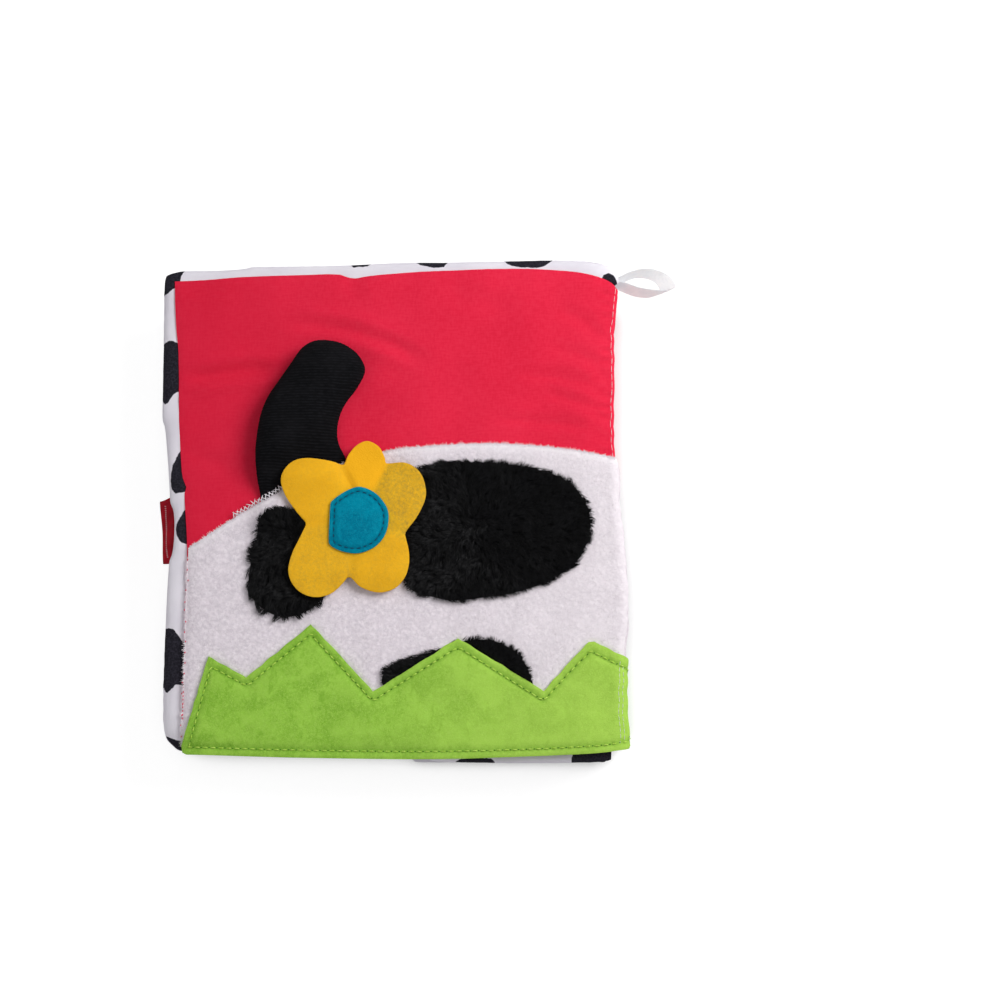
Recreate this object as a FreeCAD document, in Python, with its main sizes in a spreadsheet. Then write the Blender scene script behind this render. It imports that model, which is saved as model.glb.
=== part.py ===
"""Cloth activity book for a small child, lying closed on its front cover.

Units are millimetres. The origin is at the middle of the front cover's outer face, which lies on z = 0.
+X points at the spine, +Y at the head of the book and +Z up through the back cover.

The book is a stack of soft pads: a front cover, a block of leaves and a back cover. Both covers hang on
a narrow spine strip by a stitched fold in the outer cloth, so each fold line is a hinge axis along Y.
The outer cloth is a sky panel with a plush panel and a felt grass strip laid over it, and it runs on
round the spine. The back cover also carries fur patches, a stuffed tail and a felt flower.
"""

import math
import os

import FreeCAD
import Part
import Sketcher

SIZES = [
    # covers
    ("cover_width", 194.0, "fore edge to fold line"),
    ("book_height", 210.0, "foot to head"),
    ("cover_thick", 8.0, "a cover with its sky cloth"),
    ("cover_corner", 9.0, "plan radius of the fore corners"),
    ("edge_round", 3.2, "rounding of a cover's free edges"),
    ("fold_gap", 0.3, "cover to spine strip, and cover to leaves"),
    # leaves
    ("leaf_count", 3, "leaves between the covers"),
    ("leaf_thick", 6.5, "one padded leaf"),
    ("leaf_inset", 2.5, "cover edge to leaf edge"),
    ("leaf_round", 2.9, "rounding of a leaf's free edges"),
    ("leaf_corner", 7.0, "plan radius of a leaf's fore corners"),
    # outer cloth
    ("sky_thick", 0.6, "woven cotton panel"),
    ("border_fore", 7.0, "lining rolled over the fore edge"),
    ("border_ends", 3.6, "lining rolled over head and foot"),
    ("plush_thick", 2.4, "short-pile plush panel"),
    ("plush_fore_y", -14.0, "top edge of the plush at the fore edge"),
    ("plush_mid_x", 0.0, "where the two curves of its top edge meet"),
    ("plush_mid_y", 26.5, "height of that point"),
    ("plush_fold_y", 24.0, "top edge of the plush at the fold"),
    ("plush_crown", 265.0, "radius of the top edge"),
    ("fold_slope", 3.0, "width over which the plush thins towards the fold"),
    ("pressed_thick", 0.3, "plush left at the fold"),
    ("fur_thick", 2.4, "fur patch"),
    ("grass_thick", 1.6, "felt strip"),
    ("grass_inset", 0.5, "plush to the felt at the lower fore corner"),
    ("grass_fold_y", -61.0, "top of the felt at the fold"),
    # spine strip
    ("spine_shoulder", 3.0, "outer face of a cover to the edge of the strip"),
    ("spine_end_inset", 1.5, "end of the book to the end of the strip"),
    ("spine_sky_bulge", 1.8, "belly of the strip where the sky cloth covers it"),
    ("spine_plush_bulge", 3.4, "belly under plush"),
    ("spine_grass_bulge", 4.4, "belly under plush and felt"),
    # flower
    ("felt_thick", 1.4, "felt of the flower"),
    ("disc_x", -16.3, "middle of the flower"),
    ("disc_y", -3.0, "middle of the flower"),
    ("disc_radius", 13.2, "round centre of the flower"),
    ("disc_flat", 11.6, "its middle to its flat side"),
    # tail
    ("tail_x", -42.5, "root of the tail"),
    ("tail_y", 3.0, "root of the tail"),
    ("tail_straight", 30.0, "straight run from the root"),
    ("tail_bend", 40.0, "radius of the bend that follows"),
    ("tail_flat", 0.12, "share of its half thickness that is pressed flat"),
    # ribbons
    ("loop_nose", 24.0, "hanging loop, from the fold line to its nose"),
    ("loop_span", 25.0, "length of the oval that the ribbon follows"),
    ("loop_depth", 10.8, "width of that oval"),
    ("loop_thick", 0.7, "loop ribbon"),
    ("loop_width", 6.0, "loop ribbon"),
    ("loop_lean", 34.0, "lean of the ribbon from upright, in degrees"),
    ("loop_below_head", 8.0, "head of the book to the middle of the loop"),
    ("tag_reach", 7.5, "side tag, from the cover's edge to its fold"),
    ("tag_root", 2.0, "side tag inside the cover's seam"),
    ("tag_width", 27.0, "side tag along the fore edge"),
    ("tag_thick", 1.2, "both layers of its ribbon"),
    ("tag_round", 0.5, "rounding of its folded edge"),
    ("tag_y", -21.7, "foot end of the tag"),
    ("tag_droop", 38.0, "tag below level, in degrees"),
]

# Felt grass: tips and notches in turn, as (name, share of the strip's length from its fore end, y).
GRASS_POINTS = [
    ("tip_a", 0.054, -62.0),
    ("notch_a", 0.146, -72.0),
    ("tip_b", 0.296, -48.0),
    ("notch_b", 0.444, -75.5),
    ("tip_c", 0.636, -54.0),
    ("notch_c", 0.836, -75.5),
    ("tip_d", 0.967, -55.0),
]

# Fur patches: name, middle x, middle y, half length, half height, turn in degrees. The flank patch
# is placed from the fold line and the others from the middle of the cover.
FUR_PATCHES = [
    ("rump_patch", -46.5, -21.5, 24.2, 18.6, 80.0),
    ("flank_patch", -53.1, -8.2, 40.5, 30.4, -3.0),
    ("belly_patch", 27.0, -77.0, 33.0, 23.5, 5.0),
]

# Flower, seen from above: the round that the petals grow from and the round end of each petal.
FLOWER_ROUNDS = [
    ("petal_core", -18.9, -3.4, 22.0),
    ("petal_fore_head", -38.3, 12.0, 11.4),
    ("petal_head", -12.5, 22.4, 8.6),
    ("petal_fold_head", 1.7, 10.8, 11.2),
    ("petal_fold_foot", -5.6, -22.4, 11.2),
    ("petal_fore_foot", -35.3, -24.5, 11.2),
]

# Tail, root to tip: name, distance along its middle line, half width, half thickness.
TAIL_STATIONS = [
    ("tail_root", 0.0, 17.8, 1.3),
    ("tail_sewn", 21.0, 17.8, 1.9),
    ("tail_swell", 31.0, 17.8, 5.2),
    ("tail_body", 40.0, 17.4, 7.6),
    ("tail_full", 49.0, 16.7, 8.6),
    ("tail_turn", 57.0, 15.6, 8.6),
    ("tail_neck", 64.0, 14.2, 8.2),
    ("tail_cap", 70.5, 11.9, 7.2),
    ("tail_crown", 75.0, 8.6, 5.4),
    ("tail_tip", 77.5, 4.6, 3.0),
]

doc = FreeCAD.newDocument("cloth_book")
sheet = doc.addObject("Spreadsheet::Sheet", "Sizes")


def fill_sheet():
    """Gives every driving size a row: what it is, its number and its alias."""
    rows = list(SIZES)
    for name, share, y in GRASS_POINTS:
        rows.append((name + "_share", share, "grass outline"))
        rows.append((name + "_y", y, "grass outline"))
    for name, x, y, half_length, half_height, turn in FUR_PATCHES:
        rows.append((name + "_x", x, "middle of the patch"))
        rows.append((name + "_y", y, "middle of the patch"))
        rows.append((name + "_half_length", half_length, "patch"))
        rows.append((name + "_half_height", half_height, "patch"))
        rows.append((name + "_turn", turn, "patch, in degrees"))
    for name, x, y, radius in FLOWER_ROUNDS:
        rows.append((name + "_x", x, "flower"))
        rows.append((name + "_y", y, "flower"))
        rows.append((name + "_radius", radius, "flower"))
    for name, distance, half_width, half_thick in TAIL_STATIONS:
        rows.append((name + "_at", distance, "along the tail"))
        rows.append((name + "_half_width", half_width, "tail"))
        rows.append((name + "_half_thick", half_thick, "tail"))
    for row, (alias, number, meaning) in enumerate(rows, start=1):
        sheet.set(f"A{row}", meaning)
        sheet.set(f"B{row}", str(number))
        sheet.setAlias(f"B{row}", alias)
    doc.recompute()


fill_sheet()

# Lines and levels that several pieces share, as expressions on the sheet's cells.
FOLD_X = "Sizes.cover_width / 2"
COVER_END_X = "(Sizes.cover_width / 2 - Sizes.fold_gap)"
PANEL_FORE_X = "(-Sizes.cover_width / 2 + Sizes.border_fore)"
HEAD_Y = "Sizes.book_height / 2"
FOOT_Y = "(-Sizes.book_height / 2)"
PANEL_FOOT_Y = "(-Sizes.book_height / 2 + Sizes.border_ends)"
PANEL_HEAD_Y = "(Sizes.book_height / 2 - Sizes.border_ends)"
PAD_THICK = "(Sizes.cover_thick - Sizes.sky_thick)"
LEAVES_Z = "(Sizes.cover_thick + Sizes.fold_gap)"
BACK_PAD_Z = f"({LEAVES_Z} + Sizes.leaf_count * Sizes.leaf_thick + Sizes.fold_gap)"
BACK_SKY_Z = f"({BACK_PAD_Z} + {PAD_THICK})"
BACK_FACE_Z = f"({BACK_PAD_Z} + Sizes.cover_thick)"
PLUSH_TOP_Z = f"({BACK_FACE_Z} + Sizes.plush_thick)"
PETALS_Z = f"({PLUSH_TOP_Z} + Sizes.fur_thick)"
DISC_Z = f"({PETALS_Z} + Sizes.felt_thick)"
LAYERS_DEPTH = "(Sizes.plush_thick + Sizes.fur_thick)"


def value(expression):
    """The number that an expression on the sheet gives."""
    return float(sheet.evalExpression(expression))


def bind(thing, **expressions):
    """Binds properties to expressions; x, y and z stand for its place."""
    for name, expression in expressions.items():
        path = f"Placement.Base.{name}" if name in ("x", "y", "z") else name
        thing.setExpression(path, expression)
    return thing


def add(kind, label):
    """A new object of the document, labelled as a person would name it."""
    thing = doc.addObject(kind, label)
    thing.Label = label
    return thing


def cut(label, base, tool):
    thing = add("Part::Cut", label)
    thing.Base = base
    thing.Tool = tool
    return thing


def fuse(label, shapes):
    thing = add("Part::MultiFuse", label)
    thing.Shapes = shapes
    thing.Refine = True
    return thing


def plane_of(body, role):
    """One of a body's own origin planes."""
    return next(f for f in body.Origin.OriginFeatures if f.Role == role)


def constrain(sketch, constraint, name, expression):
    """Adds a named constraint whose value follows an expression."""
    index = sketch.addConstraint(constraint)
    sketch.renameConstraint(index, name)
    sketch.setExpression(f"Constraints.{name}", expression)


def clockwise_arc(start, end, radius):
    """The short arc from start to end that turns clockwise, as Part holds it: anticlockwise."""
    chord = end - start
    to_centre = FreeCAD.Vector(chord.y, -chord.x, 0).normalize()
    centre = (start + end) / 2 + to_centre * math.sqrt(radius**2 - chord.Length**2 / 4)
    start_angle = math.atan2(start.y - centre.y, start.x - centre.x)
    end_angle = math.atan2(end.y - centre.y, end.x - centre.x)
    circle = Part.Circle(centre, FreeCAD.Vector(0, 0, 1), radius)
    return Part.ArcOfCircle(circle, end_angle, start_angle)


def outline(label, points, radii=None, owner=None):
    """A closed sketch through named points, each (name, x, y) with x and y as expressions.

    The points go round clockwise. radii maps a point's name to the radius of the arc that runs from
    it to the next point, swelling outwards; every other edge is straight.
    """
    radii = radii or {}
    kind = "Sketcher::SketchObject"
    sketch = owner.newObject(kind, label) if owner else add(kind, label)
    places = [FreeCAD.Vector(value(x), value(y), 0) for _, x, y in points]
    first, last = 1, 2
    ends = []
    for i, (name, _, _) in enumerate(points):
        start, end = places[i], places[(i + 1) % len(points)]
        if name in radii:
            arc = clockwise_arc(start, end, value(radii[name]))
            ends.append((sketch.addGeometry(arc, False), last, first))
        else:
            line = Part.LineSegment(start, end)
            ends.append((sketch.addGeometry(line, False), first, last))
    for i, (name, x, y) in enumerate(points):
        edge, start, end = ends[i]
        following, joined, _ = ends[(i + 1) % len(points)]
        sketch.addConstraint(Sketcher.Constraint("Coincident", edge, end, following, joined))
        for axis, expression in (("X", x), ("Y", y)):
            held = Sketcher.Constraint(f"Distance{axis}", -1, 1, edge, start, value(expression))
            constrain(sketch, held, f"{name}_{axis.lower()}", expression)
        if name in radii:
            swell = Sketcher.Constraint("Radius", edge, value(radii[name]))
            constrain(sketch, swell, f"{name}_radius", radii[name])
    return sketch


def rectangle(label, low_x, low_y, high_x, high_y, owner=None):
    corners = [
        ("foot_fore", low_x, low_y),
        ("head_fore", low_x, high_y),
        ("head_fold", high_x, high_y),
        ("foot_fold", high_x, low_y),
    ]
    return outline(label, corners, owner=owner)


def cross_section(label, points, y, radii=None):
    """An outline in a plane across the book: its second coordinate is height."""
    sketch = outline(label, points, radii)
    sketch.Placement.Rotation = FreeCAD.Rotation(FreeCAD.Vector(1, 0, 0), 90)
    return bind(sketch, y=y)


def extrude(label, profile, length, z="0", direction=(0, 0, 1)):
    """A solid that runs from a closed profile, raised by z, along a direction."""
    thing = add("Part::Extrusion", label)
    thing.Base = profile
    thing.DirMode = "Custom"
    thing.Dir = FreeCAD.Vector(*direction)
    thing.Solid = True
    return bind(thing, LengthFwd=length, z=z)


def edge_names(shape, wanted):
    return [f"Edge{i}" for i, edge in enumerate(shape.Edges, start=1) if wanted(edge.BoundBox)]


def soft_pad(label, inset, z, thick, corner, rounding):
    """A padded panel: square at the fold, rounded at its fore corners and along its free edges."""
    body = add("PartDesign::Body", label)
    end_x = COVER_END_X if inset == "0" else FOLD_X
    sketch = rectangle(
        label + "_outline",
        f"-{FOLD_X} + {inset}",
        f"{FOOT_Y} + {inset}",
        end_x,
        f"{HEAD_Y} - {inset}",
        owner=body,
    )
    sketch.AttachmentSupport = [(plane_of(body, "XY_Plane"), "")]
    sketch.MapMode = "FlatFace"
    sketch.setExpression("AttachmentOffset.Base.z", z)
    panel = body.newObject("PartDesign::Pad", label + "_panel")
    panel.Profile = sketch
    panel.setExpression("Length", thick)
    doc.recompute()
    beside_fold = value(end_x) - 1
    corners = body.newObject("PartDesign::Fillet", label + "_corners")
    corners.Base = (
        panel,
        edge_names(panel.Shape, lambda b: b.ZLength > 1 and b.XLength < 1 and b.XMax < beside_fold),
    )
    corners.setExpression("Radius", corner)
    doc.recompute()
    free_edges = body.newObject("PartDesign::Fillet", label + "_free_edges")
    free_edges.Base = (
        corners,
        edge_names(corners.Shape, lambda b: b.ZLength < 0.001 and b.XMin < beside_fold),
    )
    free_edges.setExpression("Radius", f"min({rounding}; 0.45 * {thick})")
    doc.recompute()
    return body


def make_outlines():
    """The cut shapes of the outer cloth, which both covers share."""
    panel = rectangle("panel_outline", PANEL_FORE_X, PANEL_FOOT_Y, COVER_END_X, PANEL_HEAD_Y)
    plush = outline(
        "plush_outline",
        [
            ("foot_fore", PANEL_FORE_X, PANEL_FOOT_Y),
            ("top_fore", PANEL_FORE_X, "Sizes.plush_fore_y"),
            ("top_mid", "Sizes.plush_mid_x", "Sizes.plush_mid_y"),
            ("top_fold", COVER_END_X, "Sizes.plush_fold_y"),
            ("foot_fold", COVER_END_X, PANEL_FOOT_Y),
        ],
        radii={"top_fore": "Sizes.plush_crown", "top_mid": "Sizes.plush_crown"},
    )
    grass_fore_x = f"({PANEL_FORE_X} + Sizes.grass_inset)"
    grass_end_x = f"({COVER_END_X} - Sizes.fold_slope)"
    grass_points = [("foot_fore", grass_fore_x, PANEL_FOOT_Y)]
    for name, _, _ in GRASS_POINTS:
        along = f"{grass_fore_x} + Sizes.{name}_share * ({grass_end_x} - {grass_fore_x})"
        grass_points.append((name, along, f"Sizes.{name}_y"))
    grass_points.append(("top_fold", grass_end_x, "Sizes.grass_fold_y"))
    grass_points.append(("foot_fold", grass_end_x, PANEL_FOOT_Y))
    return panel, plush, outline("grass_outline", grass_points)


def make_leaves():
    """The leaves are one soft block with a groove between each two at the free edges."""
    leaves = [
        soft_pad(
            f"leaf_{i + 1}",
            "Sizes.leaf_inset",
            f"{LEAVES_Z} + {i} * Sizes.leaf_thick",
            "Sizes.leaf_thick",
            "Sizes.leaf_corner",
            "Sizes.leaf_round",
        )
        for i in range(int(value("Sizes.leaf_count")))
    ]
    return fuse("pages", leaves)


def make_spine_field(label, bulge, low_y, high_y):
    """One field of the padded spine strip: flat against the leaves, bellied outwards."""
    low_z = "Sizes.spine_shoulder"
    high_z = f"({BACK_FACE_Z} - Sizes.spine_shoulder)"
    half_chord = f"(({high_z} - {low_z}) / 2)"
    section = cross_section(
        label + "_section",
        [("low", FOLD_X, low_z), ("high", FOLD_X, high_z)],
        low_y,
        radii={"high": f"({half_chord} ^ 2 + {bulge} ^ 2) / (2 * {bulge})"},
    )
    return extrude(label, section, f"{high_y} - {low_y}", direction=(0, 1, 0))


def make_spine():
    foot = f"({FOOT_Y} + Sizes.spine_end_inset)"
    head = f"({HEAD_Y} - Sizes.spine_end_inset)"
    grass = make_spine_field("spine_grass", "Sizes.spine_grass_bulge", foot, "Sizes.grass_fold_y")
    plush = make_spine_field(
        "spine_plush", "Sizes.spine_plush_bulge", "Sizes.grass_fold_y", "Sizes.plush_fold_y"
    )
    sky = make_spine_field("spine_sky", "Sizes.spine_sky_bulge", "Sizes.plush_fold_y", head)
    return [sky, plush, grass]


def loop_oval(label, offset):
    """An oval bar across the ribbon, offset from the line that the ribbon follows."""
    oval = add("Part::Ellipse", label + "_line")
    oval.Placement.Rotation = FreeCAD.Rotation(FreeCAD.Vector(1, 0, 0), -1)
    oval.setExpression("Placement.Rotation.Angle", "-Sizes.loop_lean")
    bind(
        oval,
        MajorRadius=f"Sizes.loop_span / 2 + {offset}",
        MinorRadius=f"Sizes.loop_depth / 2 + {offset}",
        x=f"{FOLD_X} + Sizes.loop_nose - Sizes.loop_span / 2",
        y=f"{HEAD_Y} - Sizes.loop_below_head",
        z=f"{BACK_FACE_Z} / 2",
    )
    bar = add("Part::Extrusion", label)
    bar.Base = oval
    bar.DirMode = "Normal"
    bar.Solid = True
    bar.Symmetric = True
    return bind(bar, LengthFwd="Sizes.loop_width")


def make_loop(spine_sky):
    """A ribbon that leaves the spine seam, goes round and comes back into it."""
    ring = cut(
        "loop_ring",
        loop_oval("loop_outside", "Sizes.loop_thick / 2"),
        loop_oval("loop_inside", "-Sizes.loop_thick / 2"),
    )
    seam = add("Part::Box", "loop_seam")
    bind(
        seam,
        Length="Sizes.loop_span",
        Width="Sizes.loop_span",
        Height="Sizes.loop_span",
        x=f"{FOLD_X} - Sizes.loop_span",
        y=f"{HEAD_Y} - Sizes.loop_below_head - Sizes.loop_span / 2",
        z=f"({BACK_FACE_Z} - Sizes.loop_span) / 2",
    )
    outside = cut("loop_outside_seam", ring, seam)
    return cut("hang_loop", outside, spine_sky)


def make_back_plush(plush_outline):
    """The back cover's plush panel thins towards the fold, so that the cover can open flat."""
    flat = extrude("back_plush_flat", plush_outline, "Sizes.plush_thick", BACK_FACE_Z)
    low_z = f"{BACK_FACE_Z} + Sizes.pressed_thick"
    slope_x = f"{COVER_END_X} - Sizes.fold_slope"
    wedge_section = cross_section(
        "fold_wedge_section",
        [("low", COVER_END_X, low_z), ("fore", slope_x, PLUSH_TOP_Z), ("fold", COVER_END_X, PLUSH_TOP_Z)],
        FOOT_Y,
    )
    wedge = extrude("fold_wedge", wedge_section, "Sizes.book_height", direction=(0, 1, 0))
    return cut("back_plush", flat, wedge)


def make_fur_oval(name):
    placed_from = FOLD_X if name == "flank_patch" else "0"
    oval = add("Part::Ellipse", name + "_outline")
    oval.setExpression("Placement.Rotation.Angle", f"Sizes.{name}_turn")
    bind(
        oval,
        MajorRadius=f"Sizes.{name}_half_length",
        MinorRadius=f"Sizes.{name}_half_height",
        x=f"{placed_from} + Sizes.{name}_x",
        y=f"Sizes.{name}_y",
    )
    return oval


def make_fur_patches(grass_outline):
    """Fur ovals on the plush; the belly's is cut off where the grass starts."""
    patches = []
    for name, _, _, _, _, _ in FUR_PATCHES:
        oval = make_fur_oval(name)
        label = name if name != "belly_patch" else "belly_patch_whole"
        patches.append(extrude(label, oval, "Sizes.fur_thick", PLUSH_TOP_Z))
    grass_room = extrude("grass_room", grass_outline, "Sizes.fur_thick", PLUSH_TOP_Z)
    patches[-1] = cut("belly_patch", patches[-1], grass_room)
    return patches


def make_petals():
    rounds = []
    for name, _, _, _ in FLOWER_ROUNDS:
        lobe = add("Part::Cylinder", name)
        bind(
            lobe,
            Radius=f"Sizes.{name}_radius",
            Height="Sizes.felt_thick",
            x=f"Sizes.{name}_x",
            y=f"Sizes.{name}_y",
            z=PETALS_Z,
        )
        rounds.append(lobe)
    return fuse("flower_petals", rounds)


def make_disc():
    """The flower's centre, a felt round with one side cut straight."""
    whole = add("Part::Cylinder", "disc_whole")
    bind(whole, Radius="Sizes.disc_radius", Height="Sizes.felt_thick")
    bind(whole, x="Sizes.disc_x", y="Sizes.disc_y", z=DISC_Z)
    side = add("Part::Box", "disc_side")
    bind(side, Length="Sizes.disc_radius", Width="2 * Sizes.disc_radius", Height="Sizes.felt_thick")
    bind(
        side,
        x="Sizes.disc_x - Sizes.disc_flat - Sizes.disc_radius",
        y="Sizes.disc_y - Sizes.disc_radius",
        z=DISC_Z,
    )
    return cut("flower_centre", whole, side)


def tail_frame(distance):
    """Place and heading of the tail's middle line: a straight run, then a bend towards the fold."""
    straight, bend = value("Sizes.tail_straight"), value("Sizes.tail_bend")
    turned = max(0.0, distance - straight) / bend
    x = value("Sizes.tail_x") + bend * (1 - math.cos(turned))
    y = value("Sizes.tail_y") + min(distance, straight) + bend * math.sin(turned)
    return x, y, FreeCAD.Vector(math.sin(turned), math.cos(turned), 0)


def make_tail(plush_outline):
    """A stuffed tube through oval stations, flat where it lies and cut off at the plush's edge."""
    up = FreeCAD.Vector(0, 0, 1)
    stations = []
    for name, _, _, _ in TAIL_STATIONS:
        x, y, heading = tail_frame(value(f"Sizes.{name}_at"))
        station = add("Part::Ellipse", name)
        station.Placement.Rotation = FreeCAD.Rotation(up.cross(heading), up, heading, "ZYX")
        station.Placement.Base = FreeCAD.Vector(x, y, 0)
        bind(
            station,
            MajorRadius=f"Sizes.{name}_half_width",
            MinorRadius=f"Sizes.{name}_half_thick",
            z=f"{BACK_FACE_Z} + (1 - Sizes.tail_flat) * Sizes.{name}_half_thick",
        )
        stations.append(station)
    tube = add("Part::Loft", "tail_tube")
    tube.Sections = stations
    tube.Solid = True
    tube.Ruled = True
    under = add("Part::Box", "tail_underside")
    bind(under, Length="Sizes.cover_width", Width="Sizes.book_height", Height="Sizes.cover_thick")
    bind(under, x=f"-{FOLD_X}", y=FOOT_Y, z=f"{BACK_FACE_Z} - Sizes.cover_thick")
    lying = cut("tail_lying", tube, under)
    room_depth = f"{LAYERS_DEPTH} + Sizes.plush_thick"
    room_z = f"{BACK_FACE_Z} - Sizes.plush_thick"
    return cut("tail", lying, extrude("plush_room", plush_outline, room_depth, room_z))


def make_tag(pad):
    """A folded ribbon that comes out of the cover's fore seam and droops."""
    ribbon = add("Part::Box", "tag_ribbon")
    ribbon.Placement.Rotation = FreeCAD.Rotation(FreeCAD.Vector(0, 1, 0), 90)
    ribbon.setExpression("Placement.Rotation.Angle", "180 - Sizes.tag_droop")
    bind(
        ribbon,
        Length="Sizes.tag_reach + Sizes.tag_root",
        Width="Sizes.tag_width",
        Height="Sizes.tag_thick",
        x=f"-{FOLD_X} + Sizes.tag_root * cos(Sizes.tag_droop)",
        y="Sizes.tag_y",
        z=f"{BACK_PAD_Z} + {PAD_THICK} / 2 + Sizes.tag_root * sin(Sizes.tag_droop)",
    )
    doc.recompute()
    fore_x = ribbon.Shape.BoundBox.XMin + value("Sizes.tag_thick")
    folded = edge_names(ribbon.Shape, lambda b: b.YLength > 2 and b.XMax < fore_x)
    rounded = add("Part::Fillet", "tag_folded")
    rounded.Base = ribbon
    radius = value("min(Sizes.tag_round; 0.45 * Sizes.tag_thick)")
    rounded.Edges = [(int(name[len("Edge"):]), radius, radius) for name in folded]
    return cut("side_tag", rounded, pad)


def make_cover_pad(label, z):
    return soft_pad(label, "0", z, PAD_THICK, "Sizes.cover_corner", "Sizes.edge_round")


def make_back_cover(panel, plush, grass):
    pad = make_cover_pad("back_cover_pad", BACK_PAD_Z)
    return [
        pad,
        extrude("back_sky", panel, "Sizes.sky_thick", BACK_SKY_Z),
        make_back_plush(plush),
        extrude("back_grass", grass, "Sizes.grass_thick", PLUSH_TOP_Z),
        *make_fur_patches(grass),
        make_petals(),
        make_disc(),
        make_tail(plush),
        make_tag(pad),
    ]


def make_front_cover(panel, plush, grass):
    """The book lies on this cover, so its padding gives way and its outer cloths lie flush."""
    pad = make_cover_pad("front_cover_stuffing", "Sizes.sky_thick")
    whole_plush = extrude("front_plush_whole", plush, "Sizes.plush_thick")
    whole_sky = extrude("front_sky_whole", panel, "Sizes.sky_thick")
    front_grass = extrude("front_grass", grass, "Sizes.grass_thick")
    return [
        cut("front_cover_pad", pad, whole_plush),
        cut("front_sky", whole_sky, whole_plush),
        cut("front_plush", whole_plush, front_grass),
        front_grass,
    ]


def check_objects():
    for thing in doc.Objects:
        if {"Invalid", "Error"} & set(thing.State):
            raise RuntimeError(f"{thing.Label} failed: {thing.State}")


def write_parts(nodes):
    os.makedirs("parts", exist_ok=True)
    for node in nodes:
        shape = node.Shape
        if shape.isNull() or not shape.isValid() or not shape.Solids:
            raise RuntimeError(f"{node.Label} has no valid solid")
        shape.exportStep(f"parts/{node.Label}.step")
        box = shape.BoundBox
        print(
            f"{node.Label:16s} {len(shape.Solids)} solid, {shape.Volume / 1000:8.2f} cm3,"
            f" x {box.XMin:7.2f} {box.XMax:7.2f}, y {box.YMin:7.2f} {box.YMax:7.2f},"
            f" z {box.ZMin:6.2f} {box.ZMax:6.2f}"
        )


def main():
    panel, plush, grass = make_outlines()
    spine = make_spine()
    nodes = [make_leaves(), *spine, make_loop(spine[0])]
    nodes += make_back_cover(panel, plush, grass)
    nodes += make_front_cover(panel, plush, grass)
    doc.recompute()
    check_objects()
    write_parts(nodes)


main()
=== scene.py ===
import math

import bmesh
import bpy
import numpy as np
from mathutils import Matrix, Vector
from mathutils.bvhtree import BVHTree
from mathutils.geometry import delaunay_2d_cdt


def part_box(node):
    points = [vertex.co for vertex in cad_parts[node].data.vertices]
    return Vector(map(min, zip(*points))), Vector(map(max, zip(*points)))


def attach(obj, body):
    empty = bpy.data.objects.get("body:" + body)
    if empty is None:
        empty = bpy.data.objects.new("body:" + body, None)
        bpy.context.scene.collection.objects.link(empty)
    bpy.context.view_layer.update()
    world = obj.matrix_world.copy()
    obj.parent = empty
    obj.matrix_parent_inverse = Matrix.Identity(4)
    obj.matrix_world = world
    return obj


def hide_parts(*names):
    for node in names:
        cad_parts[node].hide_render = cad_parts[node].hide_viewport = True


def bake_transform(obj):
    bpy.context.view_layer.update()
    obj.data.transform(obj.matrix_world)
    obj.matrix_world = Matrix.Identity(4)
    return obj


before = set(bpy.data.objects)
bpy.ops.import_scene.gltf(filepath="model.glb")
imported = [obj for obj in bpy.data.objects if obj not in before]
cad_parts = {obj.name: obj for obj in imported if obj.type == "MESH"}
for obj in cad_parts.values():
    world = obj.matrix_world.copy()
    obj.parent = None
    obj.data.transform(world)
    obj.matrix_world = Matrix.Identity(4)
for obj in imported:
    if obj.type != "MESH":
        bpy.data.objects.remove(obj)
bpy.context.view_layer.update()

# Cloth activity book, lying closed on its front cover. Lists of places are in millimetres, in the
# order (x, y); everything else is in metres. +X points at the spine and +Y at the head of the book.

MM = 0.001

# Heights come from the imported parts.
BACK_PAD_LOW, BACK_PAD_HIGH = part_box("back_cover_pad")
FRONT_PAD_LOW, FRONT_PAD_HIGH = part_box("front_cover_pad")
LEAVES_LOW, LEAVES_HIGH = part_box("pages")
LOOP_LOW, LOOP_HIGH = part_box("hang_loop")
TAG_LOW, TAG_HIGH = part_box("side_tag")

# Lifts of the outer cloths above the face of a pad.
SKY_LOW, SKY_HIGH = 0.05 * MM, 0.6 * MM
PLUSH_LOW, PLUSH_HIGH = 0.65 * MM, 2.2 * MM
GRASS_LOW, GRASS_HIGH = 2.75 * MM, 4.4 * MM
FUR_LOW, FUR_HIGH = 2.3 * MM, 3.3 * MM

# Where a cloth folds over from a cover on to the spine, and how far it goes on there.
SHOULDER = 2.0 * MM
LAP = 6.0 * MM
FOLD_EDGE = 91.5 * MM
BEND_RADIUS = 3.2 * MM
FOLD_BAND = (88.0 * MM, 98.5 * MM)
CLOTH_END = 102.5
SPINE_SPAN = 17.0 * MM

# Ends of the cloths along the fold, in millimetres.
CLOTH_FOOT = -98.6
SKY_TOP = 97.6
PLUSH_TOP = 23.6
GRASS_TOP, GRASS_BOTTOM = -64.2, -95.6

# Stuffing: size of the cells of its mesh, length of its simulation, the most that a point moves sideways,
# and how far a seam draws the edge in.
VOXEL = 4.2 * MM
SWELL_FRAMES = 20
SIDE_GIVE = 0.8 * MM
SEAM_DRAW = 0.9 * MM

# Pitch of the felt's topstitching.
GRASS_STITCH = 3.3 * MM

# Height of one row of even triangles, for a side of 1.
ROW_SHARE = 0.866

# ------------------------------------------------------------------ outlines

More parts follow.
